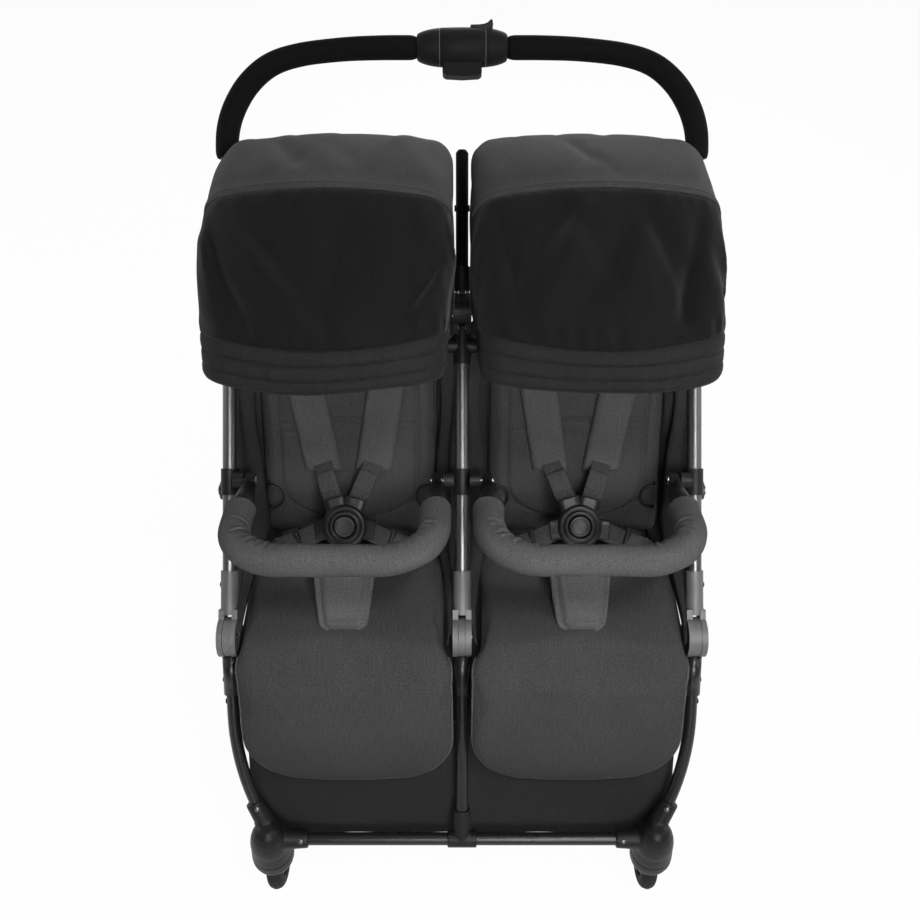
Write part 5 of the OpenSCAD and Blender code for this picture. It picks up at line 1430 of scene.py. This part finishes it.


# Rear curtains: cloth from each rear bow down to the top of the backrest, so
# that the seat is closed behind.
for side, sign in SIDES:
    t, s = np.meshgrid(np.linspace(0, 1, 71), np.linspace(0, 1, 25))
    hoop_x, hoop_d = arch(0.02, t.shape[1], -0.0030)[:2]
    upper = on_canopy(hoop_x, -hoop_d * math.sin(math.radians(9)), hoop_d * math.cos(math.radians(9)))
    around = [0, 0.22, 0.30, 0.70, 0.78, 1]
    low_x = np.interp(t[0], around, [0.131, 0.131, 0.120, -0.120, -0.131, -0.131])
    low_z = np.interp(t[0], around, [0.330, 0.430, 0.449, 0.449, 0.430, 0.330])
    lower = on_back(low_x, 0.0075, low_z)
    points = upper[None] * (1 - s[..., None]) + lower[None] * s[..., None]
    slack = np.sin(math.pi * s) * (0.014 * (1 + 0.35 * np.sin(19 * t + sign)) + 0.003 * np.sin(37 * t))
    points += slack[..., None] * np.array([0, 1, -0.4])
    points[..., 0] += sign * SEAT
    curtain = piece_from("rear_curtain_" + side, points, sheet_faces(*t.shape), panel_cloth)
    marked(curtain, "turn", soft_step(s))
    cloth_map(facing_out(thickened(curtain, 0.0014)))
    follow(curtain, "main_frame", "backrest_" + side, (0, 0.211, 0.963), (0, 0.125, 0.840),
           kept(curtain, "turn"))


# Storage basket: a soft tub of plain cloth under the seats, hung by straps
# from the seat rails, its rim bound with tape and its floor sagging.
def rounded_loop(x, y_front, y_back, radius, count):
    """Points round a rectangle with round corners, evenly spaced, from its front left."""
    bends = [(x - radius, y_front + radius, -90), (x - radius, y_back - radius, 0),
             (radius - x, y_back - radius, 90), (radius - x, y_front + radius, 180)]
    line = []
    for cx, cy, first in bends:
        for a in np.radians(np.linspace(first, first + 90, 9)):
            line.append((cx + radius * math.cos(a), cy + radius * math.sin(a)))
    line = np.array([*line, line[0]])
    run = run_along(line)
    at = np.linspace(0, run[-1], count, endpoint=False)
    return np.stack([np.interp(at, run, line[:, 0]), np.interp(at, run, line[:, 1])], -1)


AROUND = 160
loops = []
for level in np.linspace(0, 1, 17):
    drop = 0.300 - 0.166 * level
    loop = rounded_loop(0.3170, -0.300 - 0.086 * level, 0.251 - 0.016 * level, 0.030 - 0.012 * level, AROUND)
    k = np.arange(AROUND)
    slack = np.sin(math.pi * level)
    belly = 1 - 0.010 * slack * (0.6 + 0.4 * np.sin(k * 0.47) * np.sin(k * 0.11 + 1))
    loop = loop * belly[:, None]
    front = np.clip((-0.20 - loop[:, 1]) / 0.10, 0, 1)
    loop[:, 0] *= 1 + front * (0.036 - 0.014 * level) * min(1, 4 * level)
    dip = 0.006 * (1 - level) * np.abs(np.sin(k / AROUND * math.pi * 9)) + 0.002 * np.sin(k * 0.9) * slack
    dip += 0.0150 * front * level ** 6 + 0.0015 * np.sin(k * 0.71) * front * level
    loops.append(np.stack([loop[:, 0], loop[:, 1], drop - dip], -1))
base = loops[-1]
for inset in np.linspace(0, 1, 12)[1:]:
    loop = base.copy()
    centre = np.array([0.0, -0.070])
    loop[:, :2] = centre + (base[:, :2] - centre) * (1 - inset * 0.995)
    ripple = 0.0016 * np.sin(loop[:, 0] * 31) * np.sin(loop[:, 1] * 27)
    loop[:, 2] = 0.134 - 0.007 * (1 - (1 - inset) ** 2) + ripple * inset
    loops.append(loop)
tub = piece_from("basket_tub", np.vstack(loops), ring_faces(len(loops), AROUND, caps=False), basket_cloth)
facing_out(thickened(tub, 0.0020))
tapes = [tub]
rim = np.vstack([loops[0], loops[0][:2]])
tapes.append(ribbon("rim_tape", rim + np.array([0, 0, -0.008]), rim - np.array([0, -0.03, 0.3]),
                    0.018, 0.0036, webbing))
for x in (-1, 1):
    for y in (-0.242, -0.092):
        hang = [(x * 0.3172, y, 0.278), (x * 0.3176, y, 0.315), (x * 0.3168, y, 0.360),
                (x * 0.3165, y, 0.3905)]
        tapes.append(ribbon("hanger", smooth_path(hang, 18), (x, 0, 0), 0.036, 0.0026, webbing))
for one in tapes:
    cloth_map(one)
basket = joined("storage_basket_cloth", tapes)
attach(basket, "main_frame")
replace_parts(basket, "storage_basket")
